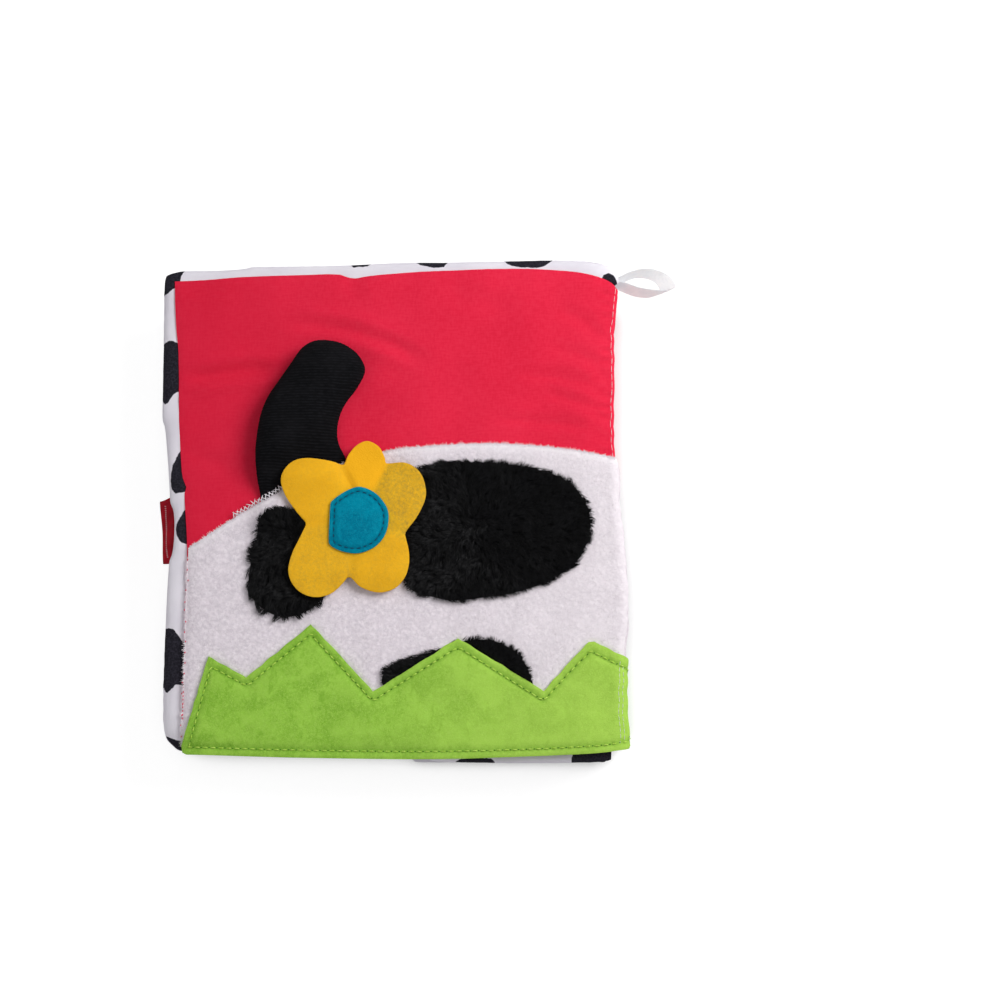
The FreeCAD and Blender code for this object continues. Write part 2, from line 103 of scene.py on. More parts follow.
# The back cover, the front cover and a leaf.
COVER_OUTLINE = [
    (-99.8, 106.4), (-100.9, 101.0), (-100.5, 93), (-100.1, 76), (-99.9, 57), (-99.6, 41), (-98.6, 27),
    (-96.6, 12), (-94.8, -2), (-95.2, -19), (-96.6, -34), (-97.6, -52), (-98.5, -71), (-98.4, -87),
    (-97.2, -94), (-94.0, -98.0), (-90, -100.5), (-80, -101.4), (-38, -103.2), (10, -103.6),
    (24, -105.4), (53, -106.2), (84, -105.6), (93.2, -104.4), (94.0, -100), (94.0, -60), (94.0, 0),
    (94.0, 60), (94.6, 94), (97.0, 99.0), (96.6, 104.4), (94.0, 108.8), (89.0, 111.2), (82, 111.8),
    (70.5, 112.0), (49, 111.7), (10, 110.8), (-10, 110.0), (-18, 109.0), (-25, 108.6), (-55, 108.2),
    (-80, 107.4), (-94.5, 107.5),
]
LOWER_OUTLINE = [
    (-97.0, 104.4), (-99.2, 99.5), (-99.8, 92), (-99.5, 74), (-99.3, 57), (-98.8, 41), (-97.4, 30),
    (-95.9, 14), (-94.4, -2), (-94.8, -19), (-96.8, -38), (-97.0, -52), (-97.3, -71), (-97.2, -87),
    (-96.3, -93), (-93.2, -98.2), (-85, -100.8), (-38, -103.0), (16, -104.2), (53, -104.6), (86, -104.8),
    (94.0, -104.2), (94.6, -98), (94.0, -60), (94.0, 0), (94.0, 60), (93.8, 96), (93.2, 103.0),
    (89.6, 107.0), (82, 109.6), (70.5, 109.8), (49, 109.4), (10, 108.4), (-18, 107.4), (-55, 107.0),
    (-90, 106.2),
]
LEAF_OUTLINE = [
    (-93.0, 102.4), (-96.0, 98.0), (-97.2, 90), (-97.2, 57), (-96.6, 41), (-95.0, 28), (-93.4, 11),
    (-92.6, -2), (-92.8, -19), (-94.4, -40), (-95.2, -71), (-95.0, -86), (-93.6, -93), (-90.0, -97.0),
    (-80, -99.0), (-30, -101.4), (30, -102.4), (86, -102.6), (92.4, -101.6), (93.2, -96), (93.0, 0),
    (92.8, 94), (91.4, 101.0), (86.0, 105.2), (70, 107.0), (30, 107.0), (-18, 105.4), (-60, 104.8),
    (-86, 104.2),
]
# Edges of the sky panel, the plush and the felt, which share the fold and the hidden foot.
SKY_FORE = [
    (-95.6, 100.6), (-95.2, 90), (-94.5, 79.6), (-93.5, 70.8), (-93.0, 58), (-92.9, 49.0), (-92.3, 36),
    (-91.1, 18.6), (-90.0, 14.0), (-88.9, 11.4), (-89.6, 8.6), (-89.2, 1.4), (-88.1, -13.6),
    (-87.9, -37), (-88.5, -71), (-88.8, -96), (-88.6, -98.6),
]
SKY_HEAD = [
    (102.5, 97.6), (95.0, 97.8), (92.4, 99.6), (89.1, 102.0), (81, 104.6), (70.6, 106.0), (49.0, 106.8),
    (10.2, 105.4), (-11.4, 103.6), (-17.9, 102.6), (-22.2, 103.4), (-28.7, 104.4), (-63.2, 103.3),
    (-80.4, 102.0), (-95.6, 101.2),
]
PLUSH_HEAD = [
    (-87.3, -15.2), (-76.0, -7.5), (-63.4, 0.7), (-50.8, 7.4), (-44.5, 11.0), (-24, 20.0), (-4.3, 26.5),
    (14.9, 28.8), (40.4, 29.9), (63.9, 28.6), (83.0, 26.0), (93.2, 24.0), (102.5, 23.6),
]
PLUSH_FORE = [
    (-88.9, -98.6), (-88.6, -90), (-88.2, -71), (-87.8, -37.3), (-87.4, -20),
]
GRASS_TIPS = [
    (-77.7, -61.1), (-61.7, -69.9), (-34.7, -47.6), (-8.4, -75.8), (27.1, -53.4), (63.1, -75.6),
    (81.0, -55.2), (83.0, -54.8), (95.2, -61.6),
]
GRASS_FOOT = [
    (102.5, -95.6), (98.5, -97.2), (95.0, -99.4), (92.0, -100.4), (80.0, -101.8), (53.0, -103.0),
    (15.5, -104.0), (-38.6, -103.4), (-80, -102.2), (-86.8, -102.0), (-88.3, -101.2), (-88.6, -98.4),
]
# Patches of black fur.
RUMP = [
    (-59.6, -12.0), (-58.6, -3.8), (-54.8, 1.2), (-45.3, 2.3), (-36, 0.6), (-30, -14), (-27.4, -28),
    (-30.4, -38.4), (-37.2, -43.6), (-46.0, -45.8), (-53.9, -43.4), (-59.8, -38.4), (-62.6, -31.9),
    (-62.4, -24.6), (-61.3, -18.4),
]
FLANK = [
    (3.2, 8), (5.4, 16.2), (10.8, 20.4), (20.4, 22.2), (32, 22.9), (43.2, 22.5), (57.4, 20.6),
    (71.6, 15.9), (79.0, 9.8), (83.0, 1.6), (83.4, -8.4), (80.8, -15.9), (76.4, -22.9), (67.7, -29.1),
    (57.0, -33.6), (46, -36.3), (35.9, -37.7), (25.8, -38.7), (15.2, -37.0), (6.6, -33.9), (2.4, -26),
    (0.6, -10),
]
BELLY = [
    (-5.4, -74), (-4.3, -66.0), (-0.6, -63.2), (7, -60.9), (15.3, -58.1), (23, -54.9), (30.0, -53.2),
    (36, -52.8), (42.4, -53.3), (50.2, -56.9), (55.6, -62.3), (58.6, -69), (59.2, -76), (46, -82),
    (10, -82),
]
# The flower: its petals, the notches between them, and its middle.
FLOWER = [
    (-21.6, 20.2), (-25.6, 21.0), (-29.6, 21.7), (-37.0, 22.4), (-42.6, 21.2), (-46.6, 17.4),
    (-47.9, 12.6), (-46.0, 6.6), (-41.6, 0.2), (-38.4, -3.6), (-37.2, -5.2), (-38.0, -7.4),
    (-39.8, -11.4), (-42.8, -17.8), (-44.4, -24.4), (-43.2, -29.8), (-39.4, -34.2), (-33.4, -36.3),
    (-26.9, -35.0), (-22.0, -31.0), (-18.8, -27.8), (-14.6, -31.6), (-9.4, -33.8), (-4.4, -34.2),
    (1.0, -32.2), (4.8, -27.8), (6.4, -22.0), (6.2, -16.4), (5.0, -11.4), (4.6, -9.3), (5.8, -7.4),
    (9.4, -2.6), (12.4, 3.4), (13.4, 8.4), (12.0, 14.6), (8.6, 18.8), (3.8, 20.8), (-3.4, 20.6),
    (-4.0, 22.6), (-6.1, 27.0), (-9.4, 29.6), (-12.6, 30.2), (-16.4, 28.2), (-19.4, 24.6),
]
FLOWER_NOTCHES = [
    (-21.6, 20.2), (-37.2, -5.2), (-18.8, -27.8), (4.6, -9.3), (-3.4, 20.6),
]
DISC = [
    (-26.0, 4.4), (-26.9, 2.2), (-27.2, -4.1), (-27.4, -12.2), (-26.8, -14.5), (-22.8, -16.8),
    (-17.8, -17.9), (-13.2, -17.6), (-7.8, -15.1), (-4.0, -10.6), (-2.4, -5.0), (-2.8, 0.8), (-6.5, 6.3),
    (-11.0, 9.3), (-15.8, 10.2), (-20.8, 8.2),
]
DISC_MIDDLE = (-14.8, -3.9)
# The tail, and the part of its root that lifts the plush.
TAIL_OUTLINE = [
    (-55.2, -2), (-56.4, 2), (-57.2, 8), (-58.5, 16), (-58.9, 27.4), (-57.2, 40.3), (-54.2, 48.4),
    (-49.6, 55.8), (-44.6, 63.2), (-40.1, 69.8), (-35.5, 72.9), (-30.2, 73.6), (-23.3, 72.4),
    (-17.1, 68.6), (-13.4, 63.4), (-13.0, 58.8), (-16.4, 52.2), (-20.7, 46.4), (-23.4, 40.5),
    (-24.5, 34.3), (-23.8, 29), (-21.2, 23.6), (-18.6, 14), (-19.4, 2), (-30, -2),
]
TAIL_ROOT = [
    (-57.0, -4), (-58.4, 4), (-58.0, 16), (-38, 28), (-20, 30), (-18.4, 14), (-19, 0), (-28, -6),
    (-48, -7),
]
# The two edges of the hanging ribbon, seen from above.
LOOP_UPPER = [
    (92.0, 104.4), (96.9, 106.6), (100.8, 108.5), (104.8, 109.9), (109.4, 110.4), (114.2, 109.6),
    (118.5, 107.6), (121.3, 105.0), (121.7, 102.6), (119.0, 101.1), (114.8, 100.8), (109.5, 101.2),
    (105.1, 102.1), (101.2, 103.5), (96.8, 104.6), (92.0, 104.4),
]
LOOP_LOWER = [
    (92.0, 102.4), (97.1, 104.5), (100.6, 106.4), (104.7, 107.5), (108.6, 107.1), (111.6, 105.8),
    (113.4, 104.0), (114.0, 102.4), (114.9, 100.9), (112.9, 99.3), (109.0, 98.5), (104.6, 99.1),
    (101.1, 100.4), (98.4, 101.6), (96.3, 102.6), (92.0, 103.0),
]

# The seam of the sky cloth down the fold.
SKY_FOLD_SEAM = [(93.3, 97), (93.0, 80), (93.2, 60), (93.0, 40), (93.3, 25)]
# The folded tag seen from its end, as (x, height), and its row of stitches seen from above.
TAG_FOLD = [
    (-92.0, 1.2), (-95.0, 1.2), (-97.4, 0.8), (-99.5, 0.3), (-100.2, -0.2), (-99.5, -0.7), (-97.4, -0.8),
    (-95.0, -0.8), (-92.0, -0.8),
]
TAG_SEAM = [(-98.3, 3.8), (-97.8, -6.5), (-97.6, -13.5), (-96.9, -18.0)]
# Dark patches of the print that show at the border of the covers.
BORDER_PATCHES = [
    [
        (-104, 95.5), (-104, 112), (-91.0, 112), (-92.2, 105.5), (-93.2, 103.4), (-93.8, 98),
        (-95.3, 98.6), (-97.7, 96.9), (-100.1, 95.4),
    ],
    [
        (-104, 73.0), (-100, 73.4), (-98.6, 74.9), (-96.9, 75.3), (-94.7, 74.1), (-92, 72.4), (-90, 60),
        (-90, 53.4), (-92.4, 53.5), (-94.5, 52.3), (-95.9, 50.6), (-97.2, 48.1), (-98.5, 46.4),
        (-100.6, 50), (-104, 52),
    ],
    [
        (-90, 27.4), (-92.1, 26.3), (-93.4, 24.6), (-95.0, 20.7), (-95.6, 17.4), (-95.8, 13.0),
        (-95.0, 10.3), (-94.2, 8.9), (-92.8, 8.3), (-90.4, 9.4), (-86, 11),
    ],
    [
        (-86, 0.8), (-90.2, 0.8), (-91.0, -0.9), (-92.6, -3.6), (-93.5, -6.8), (-93.0, -8.5),
        (-92.0, -10.5), (-91.1, -12.1), (-90.0, -12.7), (-85, -12.6),
    ],
    [
        (-102, -49.6), (-95.7, -49.2), (-94.6, -48.7), (-93.4, -49.1), (-91.9, -50.6), (-89.2, -54.3),
        (-86, -56), (-86, -72.6), (-89.8, -72.9), (-92.3, -72.5), (-93.4, -73.3), (-93.9, -75.2),
        (-94.9, -76.3), (-96.3, -75.6), (-97.1, -73.8), (-102, -73),
    ],
    [
        (-96.4, -94.6), (-95.4, -94.2), (-93.7, -94.7), (-90.8, -96.0), (-88, -97), (-86, -104),
        (-100, -104), (-98.6, -98),
    ],
    [
        (88.7, 100), (88.9, 103.4), (90.2, 104.9), (91.6, 105.2), (93.3, 104.6), (94.6, 103.4),
        (95.4, 101.4), (97, 96), (90, 94),
    ],
    [
        (-19.3, 107.2), (-17.6, 107.8), (-11.6, 108.4), (-11, 112), (-19, 112),
    ],
    [
        (8.6, 109.4), (11.7, 108.2), (16.3, 107.3), (20.4, 107.8), (21.6, 109.4), (22, 113), (8, 113),
    ],
    [
        (47.4, 109.6), (50, 108.2), (53.4, 107.6), (58, 107.5), (62.6, 107.6), (65.6, 109.4),
        (66.6, 113), (47, 113),
    ],
    [
        (27.0, -104.0), (41.0, -103.6), (41.2, -108), (27, -108),
    ],
    [
        (76.4, -100), (76.8, -108), (92.6, -108), (93.4, -103), (92.6, -100),
    ],
]
# Dark patches on the inside of a cover, as (x, y, half size).
LINING_PATCHES = [
    (-78, 84, 13), (-40, 92, 10), (-8, 78, 15), (34, 90, 12), (70, 76, 14), (-84, 44, 9), (-52, 56, 16),
    (2, 44, 11), (36, 52, 17), (78, 38, 11), (-72, 12, 15), (-30, 22, 12), (16, 10, 16), (58, 6, 12),
    (86, -6, 8), (-90, -20, 9), (-46, -18, 14), (-10, -28, 11), (34, -30, 13), (76, -40, 15),
    (-74, -54, 14), (-30, -58, 15), (14, -66, 12), (50, -74, 13), (-92, -84, 9), (-56, -90, 12),
    (-10, -94, 11), (30, -98, 8), (84, -88, 11),
]
# Creases of the sky panel, as (line, depth, width).
CREASES = [
    ([(-92, 56.6), (-84, 58.8), (-74.5, 60.4), (-62, 62.0), (-48, 62.8)], 1.7, 2.7),
    ([(-50, 82.2), (-40, 81.9), (-30.6, 81.2), (-20, 79.6), (-10, 76.4), (2, 71.6), (16, 64.5)], 0.95, 2.6),
    ([(-17.9, 112), (-18.6, 100), (-21, 93)], 0.35, 3.6),
    ([(38, 40.8), (56, 40.0), (76, 38.0), (88, 36.0)], 0.45, 2.0),
    ([(62, 52.6), (74, 49.6), (89, 44.0)], 0.45, 2.0),
    ([(50, 60.4), (68, 59.0), (90, 54.6)], 0.40, 2.3),
    ([(64, 72.0), (78, 69.0), (90, 62.0)], 0.40, 2.4),
    ([(68, 88.6), (79, 84.6), (90, 76.6)], 0.45, 2.6),
    ([(20, 96), (34, 92.6), (50, 90)], 0.30, 3.6),
    ([(-93, 95.4), (-80, 97.0), (-64, 97.8)], 0.35, 1.7),
    ([(-88, 24), (-76, 22), (-66, 17)], 0.40, 3.2),
]
# Where the spine's face stands along the book, as (y, x).
SPINE_SIDES = [
    (-106, 95.6), (-98, 95.6), (-88, 94.8), (-75, 94.6), (-62, 95.0), (-45, 96.7), (-33, 96.8),
    (-20, 95.9), (-6, 94.7), (8, 93.4), (25, 93.2), (38, 92.9), (49, 93.1), (62, 93.4), (80, 93.2),
    (91, 94.6), (100, 95.2), (106, 95.2),
]


# ------------------------------------------------------------------ lines and flat pieces

def line_through(points, step, closed=True, smooth=True):
    """Even points along a line through the given ones; a smooth line curves between them."""
    given = np.array(points, float) * MM
    count = len(given)
    spans = count if closed else count - 1
    parts = []
    for i in range(spans):
        if closed:
            a, b, c, d = (given[(i + k) % count] for k in (-1, 0, 1, 2))
        else:
            a, b, c, d = (given[min(max(i + k, 0), count - 1)] for k in (-1, 0, 1, 2))
        pieces = max(1, round(np.linalg.norm(c - b) / step))
        t = (np.arange(pieces) / pieces)[:, None]
        if smooth:
            bend = 2 * a - 5 * b + 4 * c - d
            parts.append(0.5 * (2 * b + (c - a) * t + bend * t**2 + (3 * b - a - 3 * c + d) * t**3))
        else:
            parts.append(b + (c - b) * t)
    if not closed:
        parts.append(given[-1:])
    return np.concatenate(parts)


def open_line(points, step):
    """A curve through points, from the first to the last."""
    return line_through(points, step, closed=False)


def straight_line(points, step):
    """Straight stretches from point to point, from the first to the last."""
    return line_through(points, step, closed=False, smooth=False)


def even_line(line, step, closed=False):
    """The same line with its points one step apart."""
    if closed:
        line = np.concatenate([line, line[:1]])
    along = np.concatenate([[0], np.cumsum(np.linalg.norm(np.diff(line, axis=0), axis=1))])
    count = max(2, round(along[-1] / step) + 1)
    at = np.linspace(0, along[-1], count)
    made = np.stack([np.interp(at, along, line[:, k]) for k in range(line.shape[1])], axis=1)
    return made[:-1] if closed else made


def even_ring(outline, fine, step):
    """A closed outline as points one step apart, on a curve drawn with the fine step."""
    return even_line(line_through(outline, fine), step, closed=True)


def unit(rows):
    """Rows of numbers, each made 1 long."""
    return rows / np.linalg.norm(rows, axis=1)[:, None]


def heading(turn):
    """Flat directions for angles."""
    return np.column_stack([np.cos(turn), np.sin(turn)])


def ahead_of(rows, closed):
    """The direction of a line at each of its points."""
    if closed:
        return unit(np.roll(rows, -1, axis=0) - np.roll(rows, 1, axis=0))
    return unit(np.gradient(rows, axis=0))


def inside(points, ring):
    """Which points lie within a ring."""
    a, b = ring, np.roll(ring, -1, axis=0)
    rise = np.where(b[:, 1] == a[:, 1], 1e-12, b[:, 1] - a[:, 1])
    x, y = points[:, 0, None], points[:, 1, None]
    crosses = (a[:, 1] > y) != (b[:, 1] > y)
    at = a[:, 0] + (y - a[:, 1]) * (b[:, 0] - a[:, 0]) / rise
    return (crosses & (x < at)).sum(axis=1) % 2 == 1


def nearest_on(points, line, closed=False):
    """Distance from each point to a line, and how far along the line its nearest place is."""
    a = line if closed else line[:-1]
    b = np.roll(line, -1, axis=0) if closed else line[1:]
    span = b - a
    size = np.maximum((span**2).sum(axis=1), 1e-18)
    start = np.concatenate([[0], np.cumsum(np.sqrt(size))])[:-1]
    gaps, places = [], []
    for part in np.array_split(points, max(1, len(points) // 1500)):
        t = np.clip(((part[:, None] - a) * span).sum(axis=2) / size, 0, 1)
        gap = np.linalg.norm(part[:, None] - (a + span * t[:, :, None]), axis=2)
        best = gap.argmin(axis=1)
        rows = np.arange(len(part))
        gaps.append(gap[rows, best])
        places.append(start[best] + t[rows, best] * np.sqrt(size[best]))
    return np.concatenate(gaps), np.concatenate(places)


def depth_in(points, ring):
    """Distance to an outline, above zero inside it."""
    gap, _ = nearest_on(points, ring, closed=True)
    return np.where(inside(points, ring), gap, -gap)


def signed_area(ring):
    """Twice the area of a ring, above zero where it runs anticlockwise."""
    x, y = ring.T
    return (x * np.roll(y, -1) - y * np.roll(x, -1)).sum()


def ease(value, low, high):
    """0 below low and 1 above high, with a soft step between."""
    t = np.clip((value - low) / (high - low), 0, 1)
    return t * t * (3 - 2 * t)


def bell(value, width):
    """1 at zero, and next to nothing two widths away."""
    return np.exp(-((value / width) ** 2))


def waver(x, y, size, seed):
    """Slow unevenness between -1 and 1, of waves about size long."""
    draw = np.random.default_rng(seed)
    total = np.zeros_like(x)
    for _ in range(6):
        turn, phase, share = draw.uniform(0, math.tau, 3)
        k = math.tau / (size * (0.7 + 0.1 * share))
        total = total + np.sin(k * (x * math.cos(turn) + y * math.sin(turn)) + phase)
    return total / 3.5


def inset(ring, amount):
    """An outline moved inwards."""
    ahead = ahead_of(ring, closed=True)
    normal = np.stack([ahead[:, 1], -ahead[:, 0]], axis=1)
    return ring - normal * amount * (1 if signed_area(ring) > 0 else -1)


def net_over(ring, step, folds):
    """Even places over a flat piece, closer together where a cloth folds over on to the spine."""
    low, high = ring.min(axis=0), ring.max(axis=0)
    rows = np.arange(low[1] + step / 2, high[1], step * ROW_SHARE)
    columns = np.arange(low[0], high[0], step)
    net = np.array([(x + step / 2 * (i % 2), y) for i, y in enumerate(rows) for x in columns])
    if folds:
        columns = np.arange(FOLD_BAND[0], FOLD_BAND[1], 0.65 * MM)
        close = np.array([(x, y + step / 2 * (i % 2)) for i, x in enumerate(columns) for y in rows])
        net = net[(net[:, 0] < columns[0] - 0.4 * MM) | (net[:, 0] > columns[-1] + 0.4 * MM)]
        net = np.concatenate([net, close])
    return net


def flat_cut(ring, step, rims=(), folds=False):
    """Points and triangles of a flat piece with this outline. rims are depths of closer rows of points."""
    net = net_over(ring, step, folds)
    clear = max(rims, default=0) + step * 0.55
    rows = [ring]
    for depth in rims:
        row = inset(ring, depth)
        rows.append(row[depth_in(row, ring) > depth * 0.8])
    net = net[depth_in(net, ring) > clear]
    points = np.concatenate([*rows, net])
    made = delaunay_2d_cdt([Vector(p) for p in points], [], [list(range(len(ring)))], 1, 1e-7)
    return np.array([tuple(v) for v in made[0]]), [tuple(t) for t in made[2]]


# ------------------------------------------------------------------ meshes

def new_piece(name, points, faces, flat=None, crisp=50.0, turn_out=True):
    """An object from points and faces, smooth but for edges sharper than crisp degrees."""
    mesh = bpy.data.meshes.new(name)
    places = [tuple(p) for p in np.asarray(points, float)]
    mesh.from_pydata(places, [], [tuple(int(i) for i in f) for f in faces])
    if flat is not None:
        layer = mesh.uv_layers.new(name="cut")
        corner = np.zeros(len(mesh.loops), int)
        mesh.loops.foreach_get("vertex_index", corner)
        layer.data.foreach_set("uv", np.asarray(flat, float)[corner].ravel())
    if turn_out:
        work = bmesh.new()
        work.from_mesh(mesh)
        bmesh.ops.recalc_face_normals(work, faces=work.faces)
        work.to_mesh(mesh)
        work.free()
    mesh.polygons.foreach_set("use_smooth", [True] * len(mesh.polygons))
    mesh.set_sharp_from_angle(angle=math.radians(crisp))
    mesh.update()
    piece = bpy.data.objects.new(name, mesh)
    bpy.context.scene.collection.objects.link(piece)
    return piece


def store(piece, name, values):
    """Keeps a value for each point, which a finish can read."""
    layer = piece.data.attributes.new(name, "FLOAT", "POINT")
    layer.data.foreach_set("value", values.astype(np.float32))


def cloth_piece(name, ring, step, lie, lifts=(0.0, 1.0), crisp=50.0, rims=(), mark=None, folds=False):
    """A closed sheet of cloth. lie gives the places of flat points at the lift of its back or its face,
    and mark a value for its finish."""
    flat, triangles = flat_cut(ring, step, rims, folds)
    count = len(flat)
    points = np.concatenate([lie(flat, lifts[1]), lie(flat, lifts[0])])
    directed = {(t[i], t[(i + 1) % 3]) for t in triangles for i in range(3)}
    rim = [(b, a, a + count, b + count) for a, b in directed if (b, a) not in directed]
    back = [tuple(i + count for i in reversed(t)) for t in triangles]
    piece = new_piece(name, points, triangles + back + sorted(rim), np.concatenate([flat, flat]), crisp)
    if mark is not None:
        store(piece, "mark", np.tile(mark(flat), 2))
    return piece


def blades(name, roots, middles, tips, side, width):
    """Hairs of two lengths of strip each: roots, middles and tips are rows of points."""
    count = len(roots)
    half = side * (width / 2)
    points = np.stack([roots - half, roots + half, middles + half * 0.7, middles - half * 0.7, tips], axis=1)
    first = np.arange(count)[:, None] * 5
    quads = first + np.array([0, 1, 2, 3])
    ends = first + np.array([3, 2, 4])
    faces = [tuple(q) for q in quads] + [tuple(t) for t in ends]
    return new_piece(name, points.reshape(-1, 3), faces, crisp=180.0, turn_out=False)


def specks(name, roots, tips, side, width):
    """Single short fibres, one triangle each."""
    half = side * (width / 2)
    points = np.stack([roots - half, roots + half, tips], axis=1).reshape(-1, 3)
    faces = np.arange(len(points)).reshape(-1, 3)
    return new_piece(name, points, faces, crisp=180.0, turn_out=False)


def tube_faces(rings, around):
    """The sides of a tube whose points run round one ring after another."""
    corners = [(r, r + 1, k, (k + 1) % around) for r in range(rings - 1) for k in range(around)]
    return [(r * around + k, r * around + m, s * around + m, s * around + k) for r, s, k, m in corners]


def thread_shape(length, thick, arch, rings=5, around=6):
    """One stitch: a plump thread that dips at both ends."""
    points = []
    for a in np.linspace(-1, 1, rings):
        half = np.sqrt(np.maximum(0.06, 1 - np.abs(a) ** 3)) * thick / 2
        for w in np.arange(around) * math.tau / around:
            height = arch * (1 - a * a) - arch * 0.45 + half * math.sin(w)
            points.append((a * length / 2, half * math.cos(w), height))
    faces = tube_faces(rings, around)
    faces.append(tuple(range(around))[::-1])
    faces.append(tuple((rings - 1) * around + k for k in range(around)))
    return np.array(points), faces


def sew(name, seats, length, thick, arch):
    """Stitches at seats: rows of middles, directions along the seam and directions out of the cloth."""
    shape, faces = thread_shape(length, thick, arch)
    middles, along, out = seats
    along = unit(along)
    across = unit(np.cross(out, along))
    out = np.cross(along, across)
    points = middles[:, None]
    for k, way in enumerate((along, across, out)):
        points = points + shape[None, :, k, None] * way[:, None]
    count = len(shape)
    every = [tuple(i + n * count for i in f) for n in range(len(middles)) for f in faces]
    return new_piece(name, points.reshape(-1, 3), every, crisp=180.0)


def seats_on(flat_line, pitch, place, lift, closed=False):
    """Where the stitches of a seam sit, for a seam drawn on the flat cloth."""
    middles = even_line(flat_line, pitch, closed)
    ahead = ahead_of(middles, closed) * pitch * 0.3
    here = place(middles, lift)
    along = place(middles + ahead, lift) - place(middles - ahead, lift)
    out = place(middles, lift + MM) - here
    return here, along, out


# ------------------------------------------------------------------ stuffed slabs

def slab_shape(name, outline, low, high, spare=0.0):
    """A flat slab with round edges, before it is stuffed; spare makes up for what stuffing draws in."""
    ring = inset(even_ring(outline, 2 * MM, 4 * MM), -spare)
    edge = (high - low) / 2
    levels = np.radians([-90, -60, -30, 0, 30, 60, 90])
    rings = [inset(ring, edge * (1 - math.cos(a))) for a in levels]
    heights = [(low + high) / 2 + edge * math.sin(a) for a in levels]
    count = len(ring)
    points = np.concatenate([np.column_stack([r, np.full(count, z)]) for r, z in zip(rings, heights)])
    faces = tube_faces(len(rings), count)
    faces.append(tuple(range(count)))
    faces.append(tuple((len(rings) - 1) * count + k for k in range(count)))
    return new_piece(name, points, faces)


def use_only(piece):
    bpy.ops.object.select_all(action="DESELECT")
    piece.select_set(True)
    bpy.context.view_layer.objects.active = piece


def apply_modifier(piece, kind, **settings):
    modifier = piece.modifiers.new(kind.title(), kind)
    for key, value in settings.items():
        setattr(modifier, key, value)
    use_only(piece)
    bpy.ops.object.modifier_apply(modifier=modifier.name)


def places_of(mesh):
    """The points of a mesh, a row each."""
    made = np.zeros(len(mesh.vertices) * 3)
    mesh.vertices.foreach_get("co", made)
    return made.reshape(-1, 3)


def set_places(mesh, points):
    mesh.vertices.foreach_set("co", np.asarray(points, float).ravel())
    mesh.update()


def tree_of(piece):
    mesh = piece.data
    return BVHTree.FromPolygons([v.co for v in mesh.vertices], [tuple(p.vertices) for p in mesh.polygons])


def stuff(piece, give):
    """Swells a slab with a short cloth simulation; give is the most that a point moves along z."""
    apply_modifier(piece, "REMESH", mode="VOXEL", voxel_size=VOXEL)
    before = places_of(piece.data)
    swell = piece.modifiers.new("Cloth", "CLOTH")
    swell.settings.use_pressure = True
    swell.settings.uniform_pressure_force = 4.0
    swell.settings.quality = 5
    swell.settings.mass = 0.15
    swell.settings.tension_stiffness = 15
    swell.settings.compression_stiffness = 15
    swell.settings.bending_stiffness = 0.5
    swell.settings.effector_weights.gravity = 0
    swell.point_cache.frame_start = 1
    swell.point_cache.frame_end = SWELL_FRAMES
    for step in range(1, SWELL_FRAMES + 1):
        bpy.context.scene.frame_set(step)
    shown = piece.evaluated_get(bpy.context.evaluated_depsgraph_get())
    swollen = places_of(shown.data)
    piece.modifiers.remove(swell)
    bpy.context.scene.frame_set(1)
    most = np.array([SIDE_GIVE, SIDE_GIVE, give])
    set_places(piece.data, before + np.clip(swollen - before, -most, most))
    apply_modifier(piece, "SUBSURF", levels=1, render_levels=1)
    piece.data.polygons.foreach_set("use_smooth", [True] * len(piece.data.polygons))


# ------------------------------------------------------------------ the lie of the covers

SKYWARD = 0.2
DOWN = Vector((0, 0, -1))
UP = (0.0, 0.0, 1.0)


def spine_side(y):
    """Where the spine's face stands, with small puckers."""
    ys, xs = np.array(SPINE_SIDES).T * MM
    pucker = np.sin(y * math.tau / (10.5 * MM) + 1.4 * np.sin(y * math.tau / (37 * MM)))
    return np.interp(y, ys, xs) + 0.16 * MM * pucker


class Relief:
    """Heights of the upper face of a stuffed cover, on a net that cloths are laid over."""

    def __init__(self, piece):
        tree = tree_of(piece)
        self.low = np.array([-93.0, -100.0]) * MM
        self.step = 3.0 * MM
        self.size = (62, 69)
        heights = np.zeros(self.size)
        for i in range(self.size[0]):
            for j in range(self.size[1]):
                x, y = self.low + self.step * np.array([i, j])
                hit = tree.ray_cast(Vector((x, y, SKYWARD)), DOWN)[0]
                if hit is None:
                    hit = tree.find_nearest(Vector((x, y, BACK_PAD_HIGH.z)))[0]
                heights[i, j] = hit.z
        for _ in range(2):
            wide = np.pad(heights, 1, mode="edge")
            heights = (wide[:-2, 1:-1] + wide[2:, 1:-1] + wide[1:-1, :-2] + wide[1:-1, 2:] + 4 * heights) / 8
        self.heights = heights

    def __call__(self, x, y):
        a = np.clip((x - self.low[0]) / self.step, 0, self.size[0] - 1.001)
        b = np.clip((y - self.low[1]) / self.step, 0, self.size[1] - 1.001)
        i, j = a.astype(int), b.astype(int)
        s, t = a - i, b - j
        h = self.heights
        near = h[i, j] * (1 - s) + h[i + 1, j] * s
        far = h[i, j + 1] * (1 - s) + h[i + 1, j + 1] * s
        return near * (1 - t) + far * t


def wrapped(flat, lift, base, up):
    """Flat places on a cover: over its face, round the fold and on to the spine. up is 1 or -1."""
    u, y = flat.T
    radius = SHOULDER + lift
    slide = spine_side(y) - SHOULDER - FOLD_EDGE
    turn = np.clip((u - FOLD_EDGE) / BEND_RADIUS, 0, math.pi / 2)
    past = np.maximum(u - FOLD_EDGE - BEND_RADIUS * math.pi / 2, 0)
    on_face = np.minimum(u, FOLD_EDGE)
    on_face = on_face + slide * ease(on_face, 70 * MM, FOLD_EDGE)
    x = on_face + radius * np.sin(turn)
    z = base(on_face, y) + up * (lift + radius * (np.cos(turn) - 1) - past)
    return np.column_stack([x, y, z])


